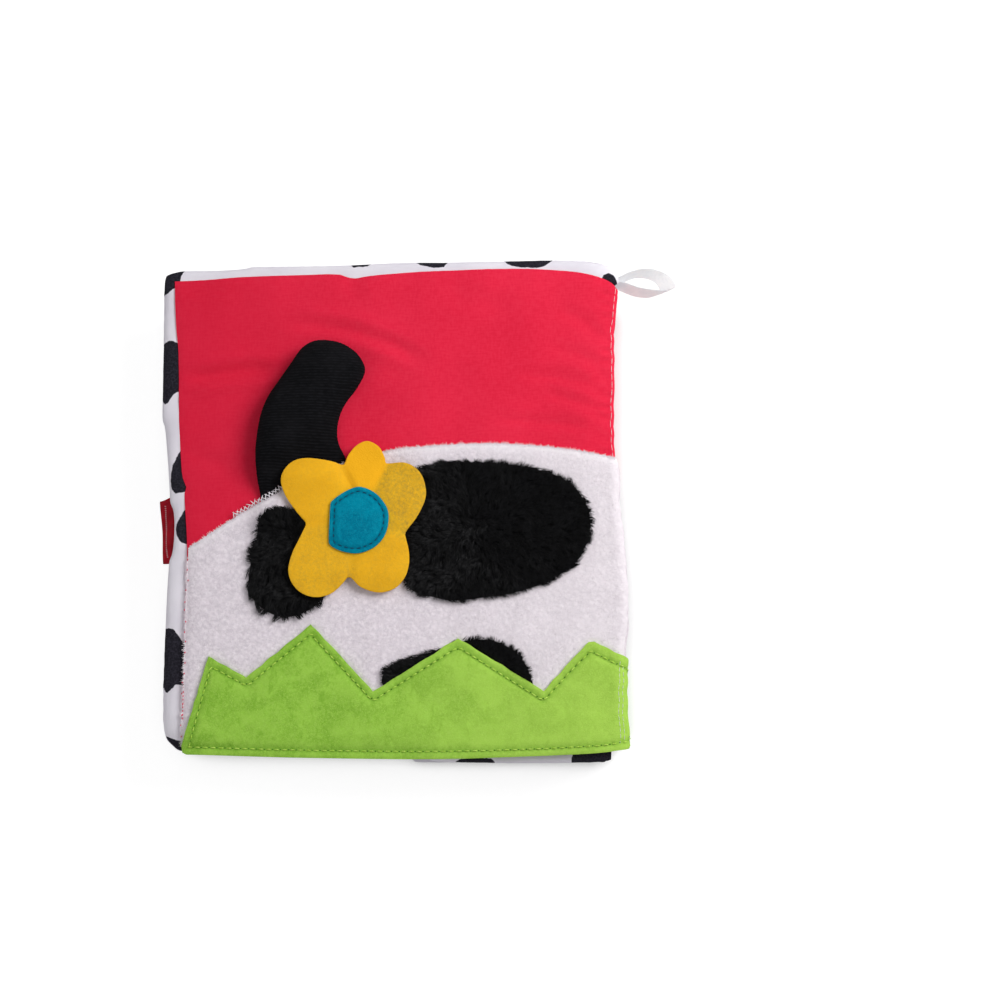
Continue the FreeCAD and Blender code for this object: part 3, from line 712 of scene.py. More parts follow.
def on_spine(flat, lift):
    """Flat places on the spine strip: the first is the share of its height, in SPINE_SPAN."""
    v, y = flat.T
    edge = spine_side(y) - SHOULDER
    top = BACK_RELIEF(edge, y) - SHOULDER - LAP
    foot = front_base(edge, y) + SHOULDER + LAP
    share = v / SPINE_SPAN
    x = spine_side(y) + lift + 0.5 * MM * np.sin(math.pi * share)
    return np.column_stack([x, y, foot + (top - foot) * share])


# ------------------------------------------------------------------ materials

def tint(red, green, blue):
    """A colour from its screen values, 0 to 255."""
    shares = [v / 255 for v in (red, green, blue)]
    return tuple(s / 12.92 if s <= 0.04045 else ((s + 0.055) / 1.055) ** 2.4 for s in shares) + (1.0,)


class Wire:
    """A socket of a material that can be used in sums."""

    def __init__(self, finish, socket):
        self.finish = finish
        self.socket = socket

    def sum(self, operation, *others, clamp=False):
        settings = {"operation": operation, "use_clamp": clamp}
        return self.finish.node("ShaderNodeMath", settings, dict(enumerate(others)))

    def __add__(self, other):
        return self.sum("ADD", self, other)

    __radd__ = __add__

    def __mul__(self, other):
        return self.sum("MULTIPLY", self, other)

    __rmul__ = __mul__

    def __sub__(self, other):
        return self.sum("SUBTRACT", self, other)

    def __rsub__(self, other):
        return self.sum("SUBTRACT", other, self)

    def __truediv__(self, other):
        return self.sum("DIVIDE", self, other)

    def sine(self):
        return self.sum("SINE", self)

    def absolute(self):
        return self.sum("ABSOLUTE", self)

    def between(self, low, high, first=0.0, last=1.0):
        """A soft step from first to last as the value goes from low to high."""
        settings = {"interpolation_type": "SMOOTHSTEP"}
        places = {"Value": self, "From Min": low, "From Max": high, "To Min": first, "To Max": last}
        return self.finish.node("ShaderNodeMapRange", settings, places)


class Finish:
    """One material: a plain surface shader and the nodes that feed it."""

    def __init__(self, name, **constants):
        self.material = bpy.data.materials.new(name)
        self.material.use_nodes = True
        self.tree = self.material.node_tree
        self.surface = self.tree.nodes["Principled BSDF"]
        for key, value in constants.items():
            self.surface.inputs[key.replace("_", " ")].default_value = value

    def node(self, kind, settings=None, sockets=None, out=0):
        made = self.tree.nodes.new(kind)
        for key, value in (settings or {}).items():
            setattr(made, key, value)
        for key, value in (sockets or {}).items():
            self.feed(made.inputs[key], value)
        return Wire(self, made.outputs[out])

    def feed(self, socket, value):
        if isinstance(value, Wire):
            self.tree.links.new(value.socket, socket)
        else:
            socket.default_value = value

    def set(self, name, value):
        self.feed(self.surface.inputs[name], value)

    def where(self):
        """The place on the object, in metres."""
        return self.node("ShaderNodeTexCoord", out=3)

    def cut(self):
        """The place on the flat cloth, in metres."""
        return self.node("ShaderNodeUVMap", {"uv_map": "cut"})

    def parts(self, place):
        split = self.node("ShaderNodeSeparateXYZ", None, {0: place})
        sockets = split.socket.node.outputs
        return [Wire(self, s) for s in sockets]

    def attribute(self, name):
        return self.node("ShaderNodeAttribute", {"attribute_name": name}, out=2)

    def scaled(self, place, x, y, z=1.0):
        return self.node("ShaderNodeMapping", None, {"Vector": place, "Scale": (x, y, z)})

    def noise(self, place, size, detail=3.0, rough=0.55, twist=0.0):
        """Uneven patches about size metres across, 0 to 1."""
        sockets = {"Vector": place, "Scale": 1 / size, "Detail": detail, "Roughness": rough}
        sockets["Distortion"] = twist
        return self.node("ShaderNodeTexNoise", None, sockets)

    def cells(self, place, size, spread=1.0):
        sockets = {"Vector": place, "Scale": 1 / size, "Randomness": spread}
        return self.node("ShaderNodeTexVoronoi", None, sockets)

    def mix(self, share, first, second, kind="MIX"):
        made = self.tree.nodes.new("ShaderNodeMix")
        made.data_type = "RGBA"
        made.blend_type = kind
        self.feed(made.inputs[0], share)
        self.feed(made.inputs[6], first)
        self.feed(made.inputs[7], second)
        return Wire(self, made.outputs[2])

    def bump(self, height, depth, strength=1.0):
        """height is 0 to 1, and depth is what 1 stands for, in metres."""
        sockets = {"Height": height, "Distance": depth, "Strength": strength}
        self.set("Normal", self.node("ShaderNodeBump", None, sockets))


# Distance from thread to thread of the cottons, and from rib to rib of the knit, in metres.
RED_PITCH = 0.00045
LINING_PITCH = 0.0005
RIB_PITCH = 0.0012


def weave(x, y, pitch):
    """Over-and-under threads of plain cloth, 0 to 1."""
    k = math.tau / pitch
    over = (x * k).sine() * (y * k).sine()
    ribs = (x * (2 * k)).sine() + (y * (2 * k)).sine()
    return over * 0.3 + ribs * 0.1 + 0.5


def red_cotton():
    fin = Finish("red_cotton", Roughness=0.9, Specular_IOR_Level=0.06)
    place = fin.cut()
    x, y, _ = fin.parts(place)
    broad = fin.noise(place, 0.045, 3.0)
    thread = fin.noise(fin.scaled(place, 0.22, 1.0), 0.0008, 2.0)
    cross = fin.noise(fin.scaled(place, 1.0, 0.25), 0.0008, 2.0)
    colour = fin.mix(broad.between(0.3, 0.7), tint(226, 35, 65), tint(233, 41, 71))
    colour = fin.mix((thread + cross).between(0.8, 1.3) * 0.12, colour, tint(246, 84, 108))
    colour = fin.mix((thread + cross).between(0.75, 1.0, 1.0, 0.0) * 0.07, colour, tint(186, 16, 44))
    # Painted shade: the cotton is painted darker towards -X, away from the light.
    fin.set("Base Color", fin.mix(x.between(-0.09, -0.01, 0.36, 0.0), colour, tint(204, 24, 52)))
    rumple = fin.noise(place, 0.014, 3.0, 0.5)
    fin.bump(weave(x, y, RED_PITCH) * 0.3 + rumple * 1.2 + thread * 0.05, 0.00030, 0.8)
    return fin.material


def printed_cotton():
    fin = Finish("cow_print_cotton", Roughness=0.9, Specular_IOR_Level=0.08)
    place = fin.where()
    x, y, z = fin.parts(place)
    edge = fin.attribute("print") * 1000 + (fin.noise(place, 0.0035, 3.0) - 0.5) * 1.3
    dark = edge.between(-0.16, 0.16)
    soft = fin.noise(place, 0.02, 3.0)
    white = fin.mix(soft.between(0.3, 0.7), tint(225, 220, 230), tint(235, 231, 239))
    fleck = fin.noise(place, 0.0008, 2.0)
    black = fin.mix(fleck.between(0.35, 0.7), tint(31, 30, 37), tint(48, 46, 55))
    fin.set("Base Color", fin.mix(dark, white, black))
    rumple = fin.noise(place, 0.009, 3.0, 0.5)
    fin.bump(weave(x + z, y + z, LINING_PITCH) * 0.3 + rumple * 0.9, 0.0004, 0.8)
    return fin.material


def white_cotton():
    fin = Finish("white_cotton", Roughness=0.88, Specular_IOR_Level=0.1)
    place = fin.where()
    x, y, z = fin.parts(place)
    soft = fin.noise(place, 0.018, 3.0)
    fin.set("Base Color", fin.mix(soft.between(0.3, 0.7), tint(219, 215, 222), tint(230, 226, 232)))
    rumple = fin.noise(place, 0.010, 3.0, 0.5)
    fin.bump(weave(x + z, y + z, LINING_PITCH) * 0.3 + rumple * 0.9, 0.0005, 0.8)
    return fin.material


def white_plush():
    """Short white pile. Its mark is 1 at the fluffy sewn edge, painted lighter there as a painted highlight.
    """
    fin = Finish("white_plush", Roughness=1.0, Specular_IOR_Level=0.05)
    place = fin.cut()
    grain = fin.noise(place, 0.0015, 3.0, 0.7)
    tuft = fin.cells(place, 0.0021)
    broad = fin.noise(place, 0.0055, 3.0)
    x, _, _ = fin.parts(place)
    colour = fin.mix(grain.between(0.35, 0.65), tint(216, 207, 215), tint(241, 233, 239))
    colour = fin.mix(broad.between(0.4, 0.62) * 0.5, colour, tint(238, 229, 236))
    colour = fin.mix(tuft.between(0.3, 0.75) * 0.35, colour, tint(208, 199, 207))
    # Painted light: the plush is painted lighter towards +X, the side the light comes from.
    colour = fin.mix(x.between(-0.02, 0.09) * 0.5, colour, tint(231, 224, 228))
    # Painted highlight along the fluffed-up head edge.
    colour = fin.mix(fin.attribute("mark") * 0.6, colour, tint(244, 240, 243))
    fin.set("Base Color", colour)
    fin.bump(grain * 0.6 + tuft * 0.5, 0.0006, 0.6)
    return fin.material


def plush_pile():
    fin = Finish("white_plush_pile", Roughness=1.0, Specular_IOR_Level=0.0)
    place = fin.where()
    x, _, _ = fin.parts(place)
    shade = fin.noise(place, 0.0014, 2.0, 0.7)
    colour = fin.mix(shade.between(0.35, 0.65), tint(230, 221, 228), tint(245, 239, 243))
    # Painted light: the pile is painted lighter towards +X, the side the light comes from.
    fin.set("Base Color", fin.mix(x.between(-0.02, 0.09) * 0.6, colour, tint(233, 226, 231)))
    return fin.material


def black_fur():
    fin = Finish("black_fur", Roughness=0.55, Specular_IOR_Level=0.15)
    place = fin.where()
    lock = fin.noise(fin.scaled(place, 1.0, 0.55), 0.0042, 2.0, 0.6, 1.2)
    hair = fin.noise(place, 0.0009, 2.0)
    colour = fin.mix(lock.between(0.42, 0.68), tint(3, 3, 4), tint(14, 14, 16))
    fin.set("Base Color", fin.mix(hair.between(0.4, 0.7) * 0.3, colour, tint(24, 24, 27)))
    fin.set("Roughness", lock.between(0.3, 0.7, 0.66, 0.46))
    return fin.material


def black_knit():
    """Fine ribs across the tail; the second part of the cut runs along it."""
    fin = Finish("black_knit", Roughness=0.95, Specular_IOR_Level=0.06)
    place = fin.cut()
    _, along, _ = fin.parts(place)
    drift = fin.noise(place, 0.014, 2.0)
    rib = ((along + drift * RIB_PITCH) * (math.tau / RIB_PITCH)).sine()
    broken = fin.noise(fin.scaled(place, 0.6, 1.0), 0.0012, 2.0)
    broad = fin.noise(place, 0.010, 3.0)
    colour = fin.mix(rib.between(-0.6, 0.9) * broken.between(0.35, 0.65), tint(13, 13, 15), tint(24, 24, 27))
    fin.set("Base Color", fin.mix(broad.between(0.4, 0.7) * 0.3, colour, tint(31, 30, 33)))
    fin.bump(rib * 0.3 + broken * 0.6 + 0.1, 0.0003, 0.7)
    return fin.material


def felt(name, dark, middle, pale, fibre, deep, heathered=0.25, lit_side_colour=None):
    """Pressed wool felt: mottled, with short fibres lying every way. Its mark goes towards the deep
    colour, which stands for painted shade in stitched grooves and painted light on the petals' nap. The
    cloth is painted lighter towards +X, the lit side, where a lit side colour is given."""
    fin = Finish(name, Roughness=1.0, Specular_IOR_Level=0.02)
    place = fin.cut()
    mottle = fin.noise(place, 0.011, 4.0, 0.6, 0.7)
    nap = fin.noise(fin.scaled(place, 1.0, 0.5), 0.0042, 3.0, 0.65, 1.0)
    grain = fin.noise(place, 0.0010, 4.0, 0.75, 1.5)
    curl = fin.noise(place, 0.0026, 3.0, 0.6, 3.0)
    stray = (curl - 0.5).absolute().between(0.0, 0.035, 1.0, 0.0)
    colour = fin.mix(mottle.between(0.32, 0.68), dark, middle)
    colour = fin.mix(grain.between(0.42, 0.72) * 0.7, colour, pale)
    colour = fin.mix(nap.between(0.54, 0.72) * 0.7, colour, dark)
    heather = fin.noise(place, 0.0014, 3.0, 0.65, 0.3).between(0.22, 0.8)
    heather = heather * nap.between(0.34, 0.64, 1.25, 0.6)
    plain = fin.attribute("mark") * -1.0 + 1.0
    colour = fin.mix(stray * grain.between(0.35, 0.6) * 0.4, colour, fibre)
    colour = fin.mix(heather * plain * heathered, colour, fibre)
    # Painted light: lighter towards +X, the side the light comes from.
    if lit_side_colour is not None:
        x, _, _ = fin.parts(place)
        colour = fin.mix(x.between(-0.05, 0.09) * 0.36, colour, lit_side_colour)
    # Painted shade in stitched grooves, and painted light on the petals' nap, as the mark gives.
    colour = fin.mix(fin.attribute("mark"), colour, deep)
    fin.set("Base Color", colour)
    fin.bump(grain * 0.5 + curl * 0.3 + mottle * 0.6, 0.0006, 0.7)
    return fin.material


def ribbon(name, colour, pale, pitch, lets_through=0.0):
    """Twill ribbon: fine slanting ribs; thin satin lets light through."""
    through = {"Subsurface_Weight": lets_through, "Subsurface_Scale": 0.008, "Subsurface_Radius": (1, 1, 1)}
    fin = Finish(name, Roughness=0.7, Specular_IOR_Level=0.15, **through)
    place = fin.cut()
    along, across, _ = fin.parts(place)
    rib = ((along + across) * (math.tau / pitch)).sine()
    soft = fin.noise(place, 0.004, 3.0)
    shade = fin.mix(soft.between(0.3, 0.7), colour, pale)
    fin.set("Base Color", fin.mix(rib.between(-1, 1) * 0.3, shade, colour))
    fin.bump(rib * 0.4 + soft * 0.6 + 0.3, 0.0002, 0.7)
    return fin.material


def thread(name, colour, pale):
    fin = Finish(name, Roughness=0.7, Specular_IOR_Level=0.15)
    place = fin.where()
    twist = fin.noise(place, 0.0006, 2.0)
    fin.set("Base Color", fin.mix(twist.between(0.35, 0.65), colour, pale))
    fin.bump(twist, 0.0001, 0.6)
    return fin.material


RED = red_cotton()
PRINT = printed_cotton()
WHITE = white_cotton()
PLUSH = white_plush()
PILE = plush_pile()
FUR = black_fur()
KNIT = black_knit()
GREEN = felt(
    "green_felt",
    dark=tint(123, 176, 51),
    middle=tint(152, 203, 73),
    pale=tint(170, 218, 86),
    fibre=tint(178, 212, 102),
    # The deep colour stands for painted shade in the stitched grooves, and the last colour for painted light
    # on the lit +X side.
    deep=tint(74, 130, 26),
    heathered=0.24,
    lit_side_colour=tint(188, 220, 98),
)
YELLOW = felt(
    "yellow_felt",
    dark=tint(230, 174, 33),
    middle=tint(245, 189, 37),
    pale=tint(252, 202, 52),
    fibre=tint(176, 140, 58),
    # The deep colour here stands for painted light: the tone each petal's nap takes in the light.
    deep=tint(251, 182, 34),
    heathered=0.74,
)
TEAL = felt(
    "teal_felt",
    dark=tint(0, 108, 138),
    middle=tint(0, 134, 162),
    pale=tint(6, 150, 178),
    fibre=tint(30, 158, 184),
    # The deep colour here stands for painted shade in the disc's stitched groove.
    deep=tint(0, 76, 102),
)
LOOP_RIBBON = ribbon("white_ribbon", tint(236, 241, 249), tint(247, 250, 255), 0.0007, 0.9)
TAG_RIBBON = ribbon("red_ribbon", tint(142, 2, 22), tint(180, 6, 34), 0.0006)
WHITE_THREAD = thread("white_thread", tint(214, 208, 214), tint(244, 240, 244))
GREEN_THREAD = thread("green_thread", tint(166, 208, 66), tint(206, 234, 112))
# A dark green that stands for painted shade in the stitch holes of the felt.
STITCH_HOLE_SHADE = thread("stitch_hole_shade", tint(50, 100, 20), tint(78, 132, 34))
NAVY_THREAD = thread("navy_thread", tint(10, 42, 70), tint(24, 66, 96))
RED_THREAD = thread("red_thread", tint(200, 20, 60), tint(236, 60, 96))


def hinge_back(piece):
    """Bakes a piece's place into its points."""
    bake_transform(piece)


def hinge_front(piece):
    """Bakes a piece's place into its points."""
    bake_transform(piece)


def dress(piece, material, carried, stands_for=()):
    """Gives a piece its finish. carried is the body it rides on, or a function that is called on it."""
    piece.data.materials.clear()
    piece.data.materials.append(material)
    if isinstance(carried, str):
        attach(piece, carried)
    if stands_for:
        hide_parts(*stands_for)
    if callable(carried):
        carried(piece)


def lay_cloth(name, ring, step, lie, material, carried, node, rests_on, held="laid", pile=None, **cut):
    """The rest goes to cloth_piece."""
    cloth = cloth_piece(name, ring, step, lie, **cut)
    dress(cloth, material, carried, [node])
    fibres = [pile()] if pile else []
    width, length = ring.max(axis=0) - ring.min(axis=0)
    area = float(abs(signed_area(ring)) / 2)


# ------------------------------------------------------------------ outlines of the outer cloths

def along_fold(top, foot, step):
    """The edge of a cloth that goes on along the spine, without its first corner."""
    return straight_line([(CLOTH_END, top), (CLOTH_END, foot)], step)[1:]


def along_foot(fore):
    """The hidden foot of a cloth under the grass, without its corners."""
    return straight_line([(CLOTH_END, CLOTH_FOOT), (fore, CLOTH_FOOT)], 2.5 * MM)[1:-1]


def panel_ring():
    """The sky panel: fore edge, head, and the foot under the grass."""
    fore = open_line(SKY_FORE[::-1], 2.2 * MM)
    head = open_line(SKY_HEAD[::-1], 2.2 * MM)
    fold = along_fold(SKY_TOP, CLOTH_FOOT, 2.5 * MM)
    return np.concatenate([fore, head, fold, along_foot(SKY_FORE[-1][0])])


def plush_ring():
    """The plush: head, the foot under the grass, and fore edge."""
    head = open_line(PLUSH_HEAD, 2.0 * MM)
    fore = open_line(PLUSH_FORE, 2.0 * MM)
    fold = along_fold(PLUSH_TOP, CLOTH_FOOT, 2.5 * MM)
    return np.concatenate([head, fold, along_foot(PLUSH_FORE[0][0]), fore[:-1]])


def grass_ring():
    """Straight cuts between tips and notches, each corner a little worn."""
    edge = straight_line([GRASS_FOOT[-1]] + GRASS_TIPS + [(CLOTH_END, GRASS_TOP)], 1.5 * MM)
    x, y = edge.T
    edge = edge + 0.22 * MM * np.column_stack([waver(x, y, 7 * MM, 51), waver(x, y, 9 * MM, 52)])
    foot = open_line(GRASS_FOOT, 2.0 * MM)[1:-1]
    return np.concatenate([edge, along_fold(GRASS_TOP, GRASS_BOTTOM, 2.0 * MM), foot])


PANEL = panel_ring()
PLUSH_CUT = plush_ring()
GRASS_CUT = grass_ring()
GRASS_SEAM = straight_line(
    [
        (-85.2, -98.0), (-76.6, -65.4), (-61.4, -73.5), (-34.9, -51.8), (-8.6, -79.8), (27.1, -57.2),
        (63.0, -79.8), (81.9, -58.9), (95.5, -66.2), (102.4, -68.4),
    ],
    1.0 * MM,
)
GRASS_FOOT_SEAM = open_line(
    [
        (-85.2, -98.9), (-40, -100.2), (15, -100.8), (53, -100.0), (80, -98.7), (92, -97.3), (96, -95.6),
        (102.4, -92.0),
    ],
    2.0 * MM,
)


# ------------------------------------------------------------------ stuffed covers and leaves

def print_field(points, patches):
    """Distance into the nearest dark patch of the print, above zero inside one."""
    best = np.full(len(points), -1.0)
    for patch in patches:
        ring = line_through(patch, 1.5 * MM)
        low, high = ring.min(axis=0) - 4 * MM, ring.max(axis=0) + 4 * MM
        close = np.flatnonzero(((points > low) & (points < high)).all(axis=1))
        if len(close):
            best[close] = np.maximum(best[close], depth_in(points[close], ring))
    return np.maximum(best, -4 * MM)


def lining_rings(shift):
    """Round uneven patches of the print, moved along by shift millimetres."""
    rings = []
    for n, (x, y, half) in enumerate(LINING_PATCHES):
        turns = np.radians(np.arange(0, 360, 30))
        reach = half * (1 + 0.22 * np.sin(2 * turns + n * 1.7) + 0.13 * np.sin(3 * turns + n * 2.9))
        rings.append(list(zip(x + shift + reach * np.cos(turns), y + reach * 0.8 * np.sin(turns))))
    return rings


def print_on(piece, upper, lower, middle):
    """Stores the print on a cover: one set of patches above its middle and another below."""
    points = places_of(piece.data)
    top = print_field(points[:, :2], upper)
    foot = print_field(points[:, :2], lower)
    store(piece, "print", np.where(points[:, 2] > middle, top, foot))


def seam_round(piece, outline, middle):
    """Draws the edge of a pad in along its seam, with small puckers."""
    points = places_of(piece.data)
    gap, along = nearest_on(points[:, :2], even_ring(outline, 2 * MM, 3 * MM), closed=True)
    pucker = 0.75 + 0.25 * np.sin(along * math.tau / (6.5 * MM))
    pucker = pucker + 0.2 * np.sin(along * math.tau / (17 * MM) + 1)
    pull = SEAM_DRAW * pucker * bell(points[:, 2] - middle, 1.1 * MM)
    inward = unit(points[:, :2].mean(axis=0) - points[:, :2])
    points[:, :2] += inward * (pull * ease(-gap, -5 * MM, -1.5 * MM))[:, None]
    set_places(piece.data, points)


def make_back_pad():
    """The back cover's lining, and the lie of its face before room is left there for the cloths."""
    low, high = BACK_PAD_LOW.z + 0.3 * MM, BACK_PAD_HIGH.z - 0.9 * MM
    pad = slab_shape("back_cover_lining", COVER_OUTLINE, low, high, 2.3 * MM)
    stuff(pad, 1.0 * MM)
    middle = (low + high) / 2
    points = places_of(pad.data)
    seam = np.concatenate([open_line(SKY_FORE[::-1], 3 * MM), open_line(SKY_HEAD[::-1], 3 * MM)])
    gap, _ = nearest_on(points[:, :2], seam)
    top = ease(points[:, 2], middle, high)
    border = depth_in(points[:, :2], even_ring(COVER_OUTLINE, 2 * MM, 3 * MM))
    lumps = waver(points[:, 0], points[:, 1], 26 * MM, 5)
    points[:, 2] += top * 0.35 * MM * lumps * ease(border, 0, 8 * MM)
    points[:, 2] -= top * 0.5 * MM * bell(gap, 1.8 * MM)
    fold_end = 91.6 * MM + 5.0 * MM * ease(points[:, 1], 98.5 * MM, 102 * MM)
    points[:, 0] = np.minimum(points[:, 0], fold_end)
    points[:, 2] = np.clip(points[:, 2], BACK_PAD_LOW.z, BACK_PAD_HIGH.z + 0.5 * MM)
    set_places(pad.data, points)
    relief = Relief(pad)
    under_cloth = ease(depth_in(points[:, :2], panel_ring()), 0.5 * MM, 5 * MM)
    corner = ease(points[:, 0], 86 * MM, 90 * MM) * ease(102.5 * MM - points[:, 1], 0, 2.5 * MM)
    points[:, 2] -= top * 1.3 * MM * np.maximum(under_cloth, corner)
    set_places(pad.data, points)
    seam_round(pad, COVER_OUTLINE, middle)
    print_on(pad, BORDER_PATCHES, lining_rings(0), middle - 1.5 * MM)
    dress(pad, PRINT, "back_cover", ["back_cover_pad"])
    return relief


def front_base(x, y):
    """Under face of the front cover's stuffing, which gives way to the thicker cloths."""
    head = open_line(PLUSH_HEAD, 3 * MM)
    edge = np.interp(x, head[:, 0], head[:, 1])
    return (0.72 + 2.35 * ease(edge - y, -4 * MM, 3 * MM)) * MM


def make_front_pad():
    """The front cover's lining, cut back beside the fold so that the cloths can turn there."""
    low, high = 2.7 * MM, FRONT_PAD_HIGH.z - 0.3 * MM
    pad = slab_shape("front_cover_lining", LOWER_OUTLINE, low, high, 1.2 * MM)
    stuff(pad, 0.6 * MM)
    points = places_of(pad.data)
    middle = (low + high) / 2
    deep = ease(depth_in(points[:, :2], even_ring(LOWER_OUTLINE, 2 * MM, 3 * MM)), 1 * MM, 7 * MM)
    floor = front_base(points[:, 0], points[:, 1])
    below = ease(middle - points[:, 2], 0, 1.2 * MM) * deep
    points[:, 2] = points[:, 2] * (1 - below) + floor * below
    room = 2.2 * MM * ease(middle - points[:, 2], -1.2 * MM, 1.6 * MM)
    points[:, 0] = np.minimum(points[:, 0], 91.8 * MM - room)
    points[:, 2] = np.clip(points[:, 2], 0.7 * MM, FRONT_PAD_HIGH.z)
    set_places(pad.data, points)
    seam_round(pad, LOWER_OUTLINE, 5.0 * MM)
    print_on(pad, lining_rings(17), BORDER_PATCHES, middle + 1.5 * MM)
    dress(pad, PRINT, "front_cover", ["front_cover_pad"])


def make_leaves():
    """Stuffed cotton leaves, one on another and each a little out of line."""
    slips = (0.0, 0.5, -0.4)
    thick = (LEAVES_HIGH.z - LEAVES_LOW.z) / len(slips)
    low = LEAVES_LOW.z + 0.35 * MM
    leaf = slab_shape("leaves", LEAF_OUTLINE, low, low + thick - 0.7 * MM)
    stuff(leaf, 0.5 * MM)
    middle = LEAVES_LOW.z + thick / 2
    seam_round(leaf, LEAF_OUTLINE, middle)
    points = places_of(leaf.data)
    inner = depth_in(points[:, :2], even_ring(LEAF_OUTLINE, 2 * MM, 3 * MM))
    side = np.sign(points[:, 2] - middle)
    points[:, 2] -= side * 0.45 * MM * bell(inner - 6.5 * MM, 1.6 * MM)
    points[:, 2] = np.clip(points[:, 2], LEAVES_LOW.z + 0.05 * MM, LEAVES_LOW.z + thick - 0.05 * MM)
    faces = [tuple(p.vertices) for p in leaf.data.polygons]
    stack, every = [], []
    for n, slip in enumerate(slips):
        moved = points.copy()
        if n == 1:
            moved[:, 0] += 0.5 * MM * ease(-moved[:, 0], 0, 60 * MM)
        moved[:, 1] += slip * MM
        moved[:, 2] += n * thick
        stack.append(moved)
        every += [tuple(i + n * len(points) for i in f) for f in faces]
    bpy.data.objects.remove(leaf)
    leaves = new_piece("leaves_of_the_book", np.concatenate(stack), every)
    dress(leaves, WHITE, "leaves_and_spine", ["pages"])


BACK_RELIEF = make_back_pad()
make_front_pad()
make_leaves()


def sky_lie(flat, lift):
    """The lie of the sky cloth on the back cover, with its creases and puckered seams."""
    x, y = flat.T
    made = wrapped(flat, lift, BACK_RELIEF, 1)
    open_cloth = ease(88 * MM - x, 0, 6 * MM)
    sink = np.zeros(len(flat))
    for line, depth, width in CREASES:
        gap, along = nearest_on(flat, open_line(line, 2 * MM))
        total = np.linalg.norm(np.diff(np.array(line), axis=0), axis=1).sum() * MM
        ends = ease(along, 0, total * 0.25) * ease(total - along, 0, total * 0.25)
        valley = bell(gap, width * MM) - 0.45 * bell(gap - 2.2 * width * MM, width * MM)
        sink += depth * MM * valley * ends
    edge = np.concatenate([open_line(SKY_FORE[::-1], 3 * MM), open_line(SKY_HEAD[1:][::-1], 3 * MM)])
    gap, along = nearest_on(flat, edge)
    ripple = 0.5 + 0.5 * np.sin(along * math.tau / (7 * MM) + 2 * np.sin(along * math.tau / (31 * MM)))
    sink += 0.30 * MM * bell(gap, 1.0 * MM) + 0.16 * MM * ripple * bell(gap, 4.5 * MM)
    sink += 0.3 * MM * bell(x - 91.6 * MM, 0.7 * MM)
    tug = np.sin(y * math.tau / (6.3 * MM) + 1.6 * np.sin(y * math.tau / (23 * MM)))
    sink += 0.28 * MM * tug * bell(x - 90 * MM, 3.4 * MM)
    made[:, 2] -= sink
    made[:, 2] += 0.3 * MM * waver(x, y, 34 * MM, 3) * open_cloth
    return made


def plush_fade(flat):
    """How far the plush stands up: less at its sewn edges."""
    edge = np.concatenate([open_line(PLUSH_FORE, 3 * MM), open_line(PLUSH_HEAD, 3 * MM)])
    gap, _ = nearest_on(flat, edge)
    return ease(gap, -0.5 * MM, 3.0 * MM)


def plush_rim_highlight(flat):
    """1 along the plush's head edge, where it is fluffed up and painted lighter as a painted highlight."""
    gap, _ = nearest_on(flat, open_line(PLUSH_HEAD, 3 * MM))
    return 1 - ease(gap, 0.8 * MM, 3.2 * MM)


def grass_groove_shade(flat):
    """How near a place is to the felt's seams, where the felt is painted darker as painted shade in the
    stitched groove.
    """
    near = np.zeros(len(flat))
    for seam in (GRASS_SEAM, GRASS_FOOT_SEAM):
        gap, _ = nearest_on(flat, seam)
        near = np.maximum(near, 0.3 * bell(gap, 0.9 * MM))
    return near


def in_grass(flat):
    """Distance to the edges of the felt, above zero inside it. Where it goes on to the spine is no edge."""
    held = np.minimum(flat[:, 0], (CLOTH_END - 8) * MM)
    return depth_in(np.column_stack([held, flat[:, 1]]), GRASS_CUT)


def slack(flat):
    """The room a cloth leaves under itself at the fold, so that it can turn."""
    return 0.3 * MM * ease(flat[:, 0], 87 * MM, 90 * MM)


def plush_height(flat, lift, face=PLUSH_HIGH, squeeze=0.22, swell=0.25 * MM):
    """lift is 0 at the back of the plush and 1 at its face; the pile goes above 1."""
    x, y = flat.T
    rise = (0.5 + 0.5 * plush_fade(flat)) * (1 - squeeze * ease(in_grass(flat), -1 * MM, 5 * MM))
    low = PLUSH_LOW + slack(flat) * (1 - np.minimum(lift, 1))
    wave = swell * waver(x, y, 22 * MM, 8)
    return low + (face - PLUSH_LOW + wave) * rise * lift


def grass_height(flat, lift, low=GRASS_LOW - 0.5 * MM, high=GRASS_HIGH - 0.5 * MM, swell=0.35 * MM):
    """lift is 0 at the back of the felt and 1 at its face."""
    x, y = flat.T
    sink = np.zeros(len(flat))
    for seam in (GRASS_SEAM, GRASS_FOOT_SEAM):
        gap, along = nearest_on(flat, seam)
        stitch = 0.75 + 0.25 * np.cos(along * math.tau / GRASS_STITCH)
        sink = np.maximum(sink, 0.8 * MM * stitch * bell(gap, 1.3 * MM))
    worn = 0.35 * MM * (1 - ease(in_grass(flat), 0, 0.9 * MM)) * lift
    room = slack(flat) * (1 - lift)
    made = low + (high - low) * lift + room - sink * (0.4 + 0.6 * lift) - worn
    return made + swell * waver(x, y, 30 * MM, 12)


def root_rise(flat):
    """How far the plush is lifted by the root of the tail tucked under it."""
    return 2.3 * MM * ease(depth_in(flat, line_through(TAIL_ROOT, 2 * MM)), -5 * MM, 4 * MM)


def plush_lie(flat, lift):
    return wrapped(flat, plush_height(flat, lift) + root_rise(flat), BACK_RELIEF, 1)


def grass_lie(flat, lift):
    return wrapped(flat, grass_height(flat, lift), BACK_RELIEF, 1)


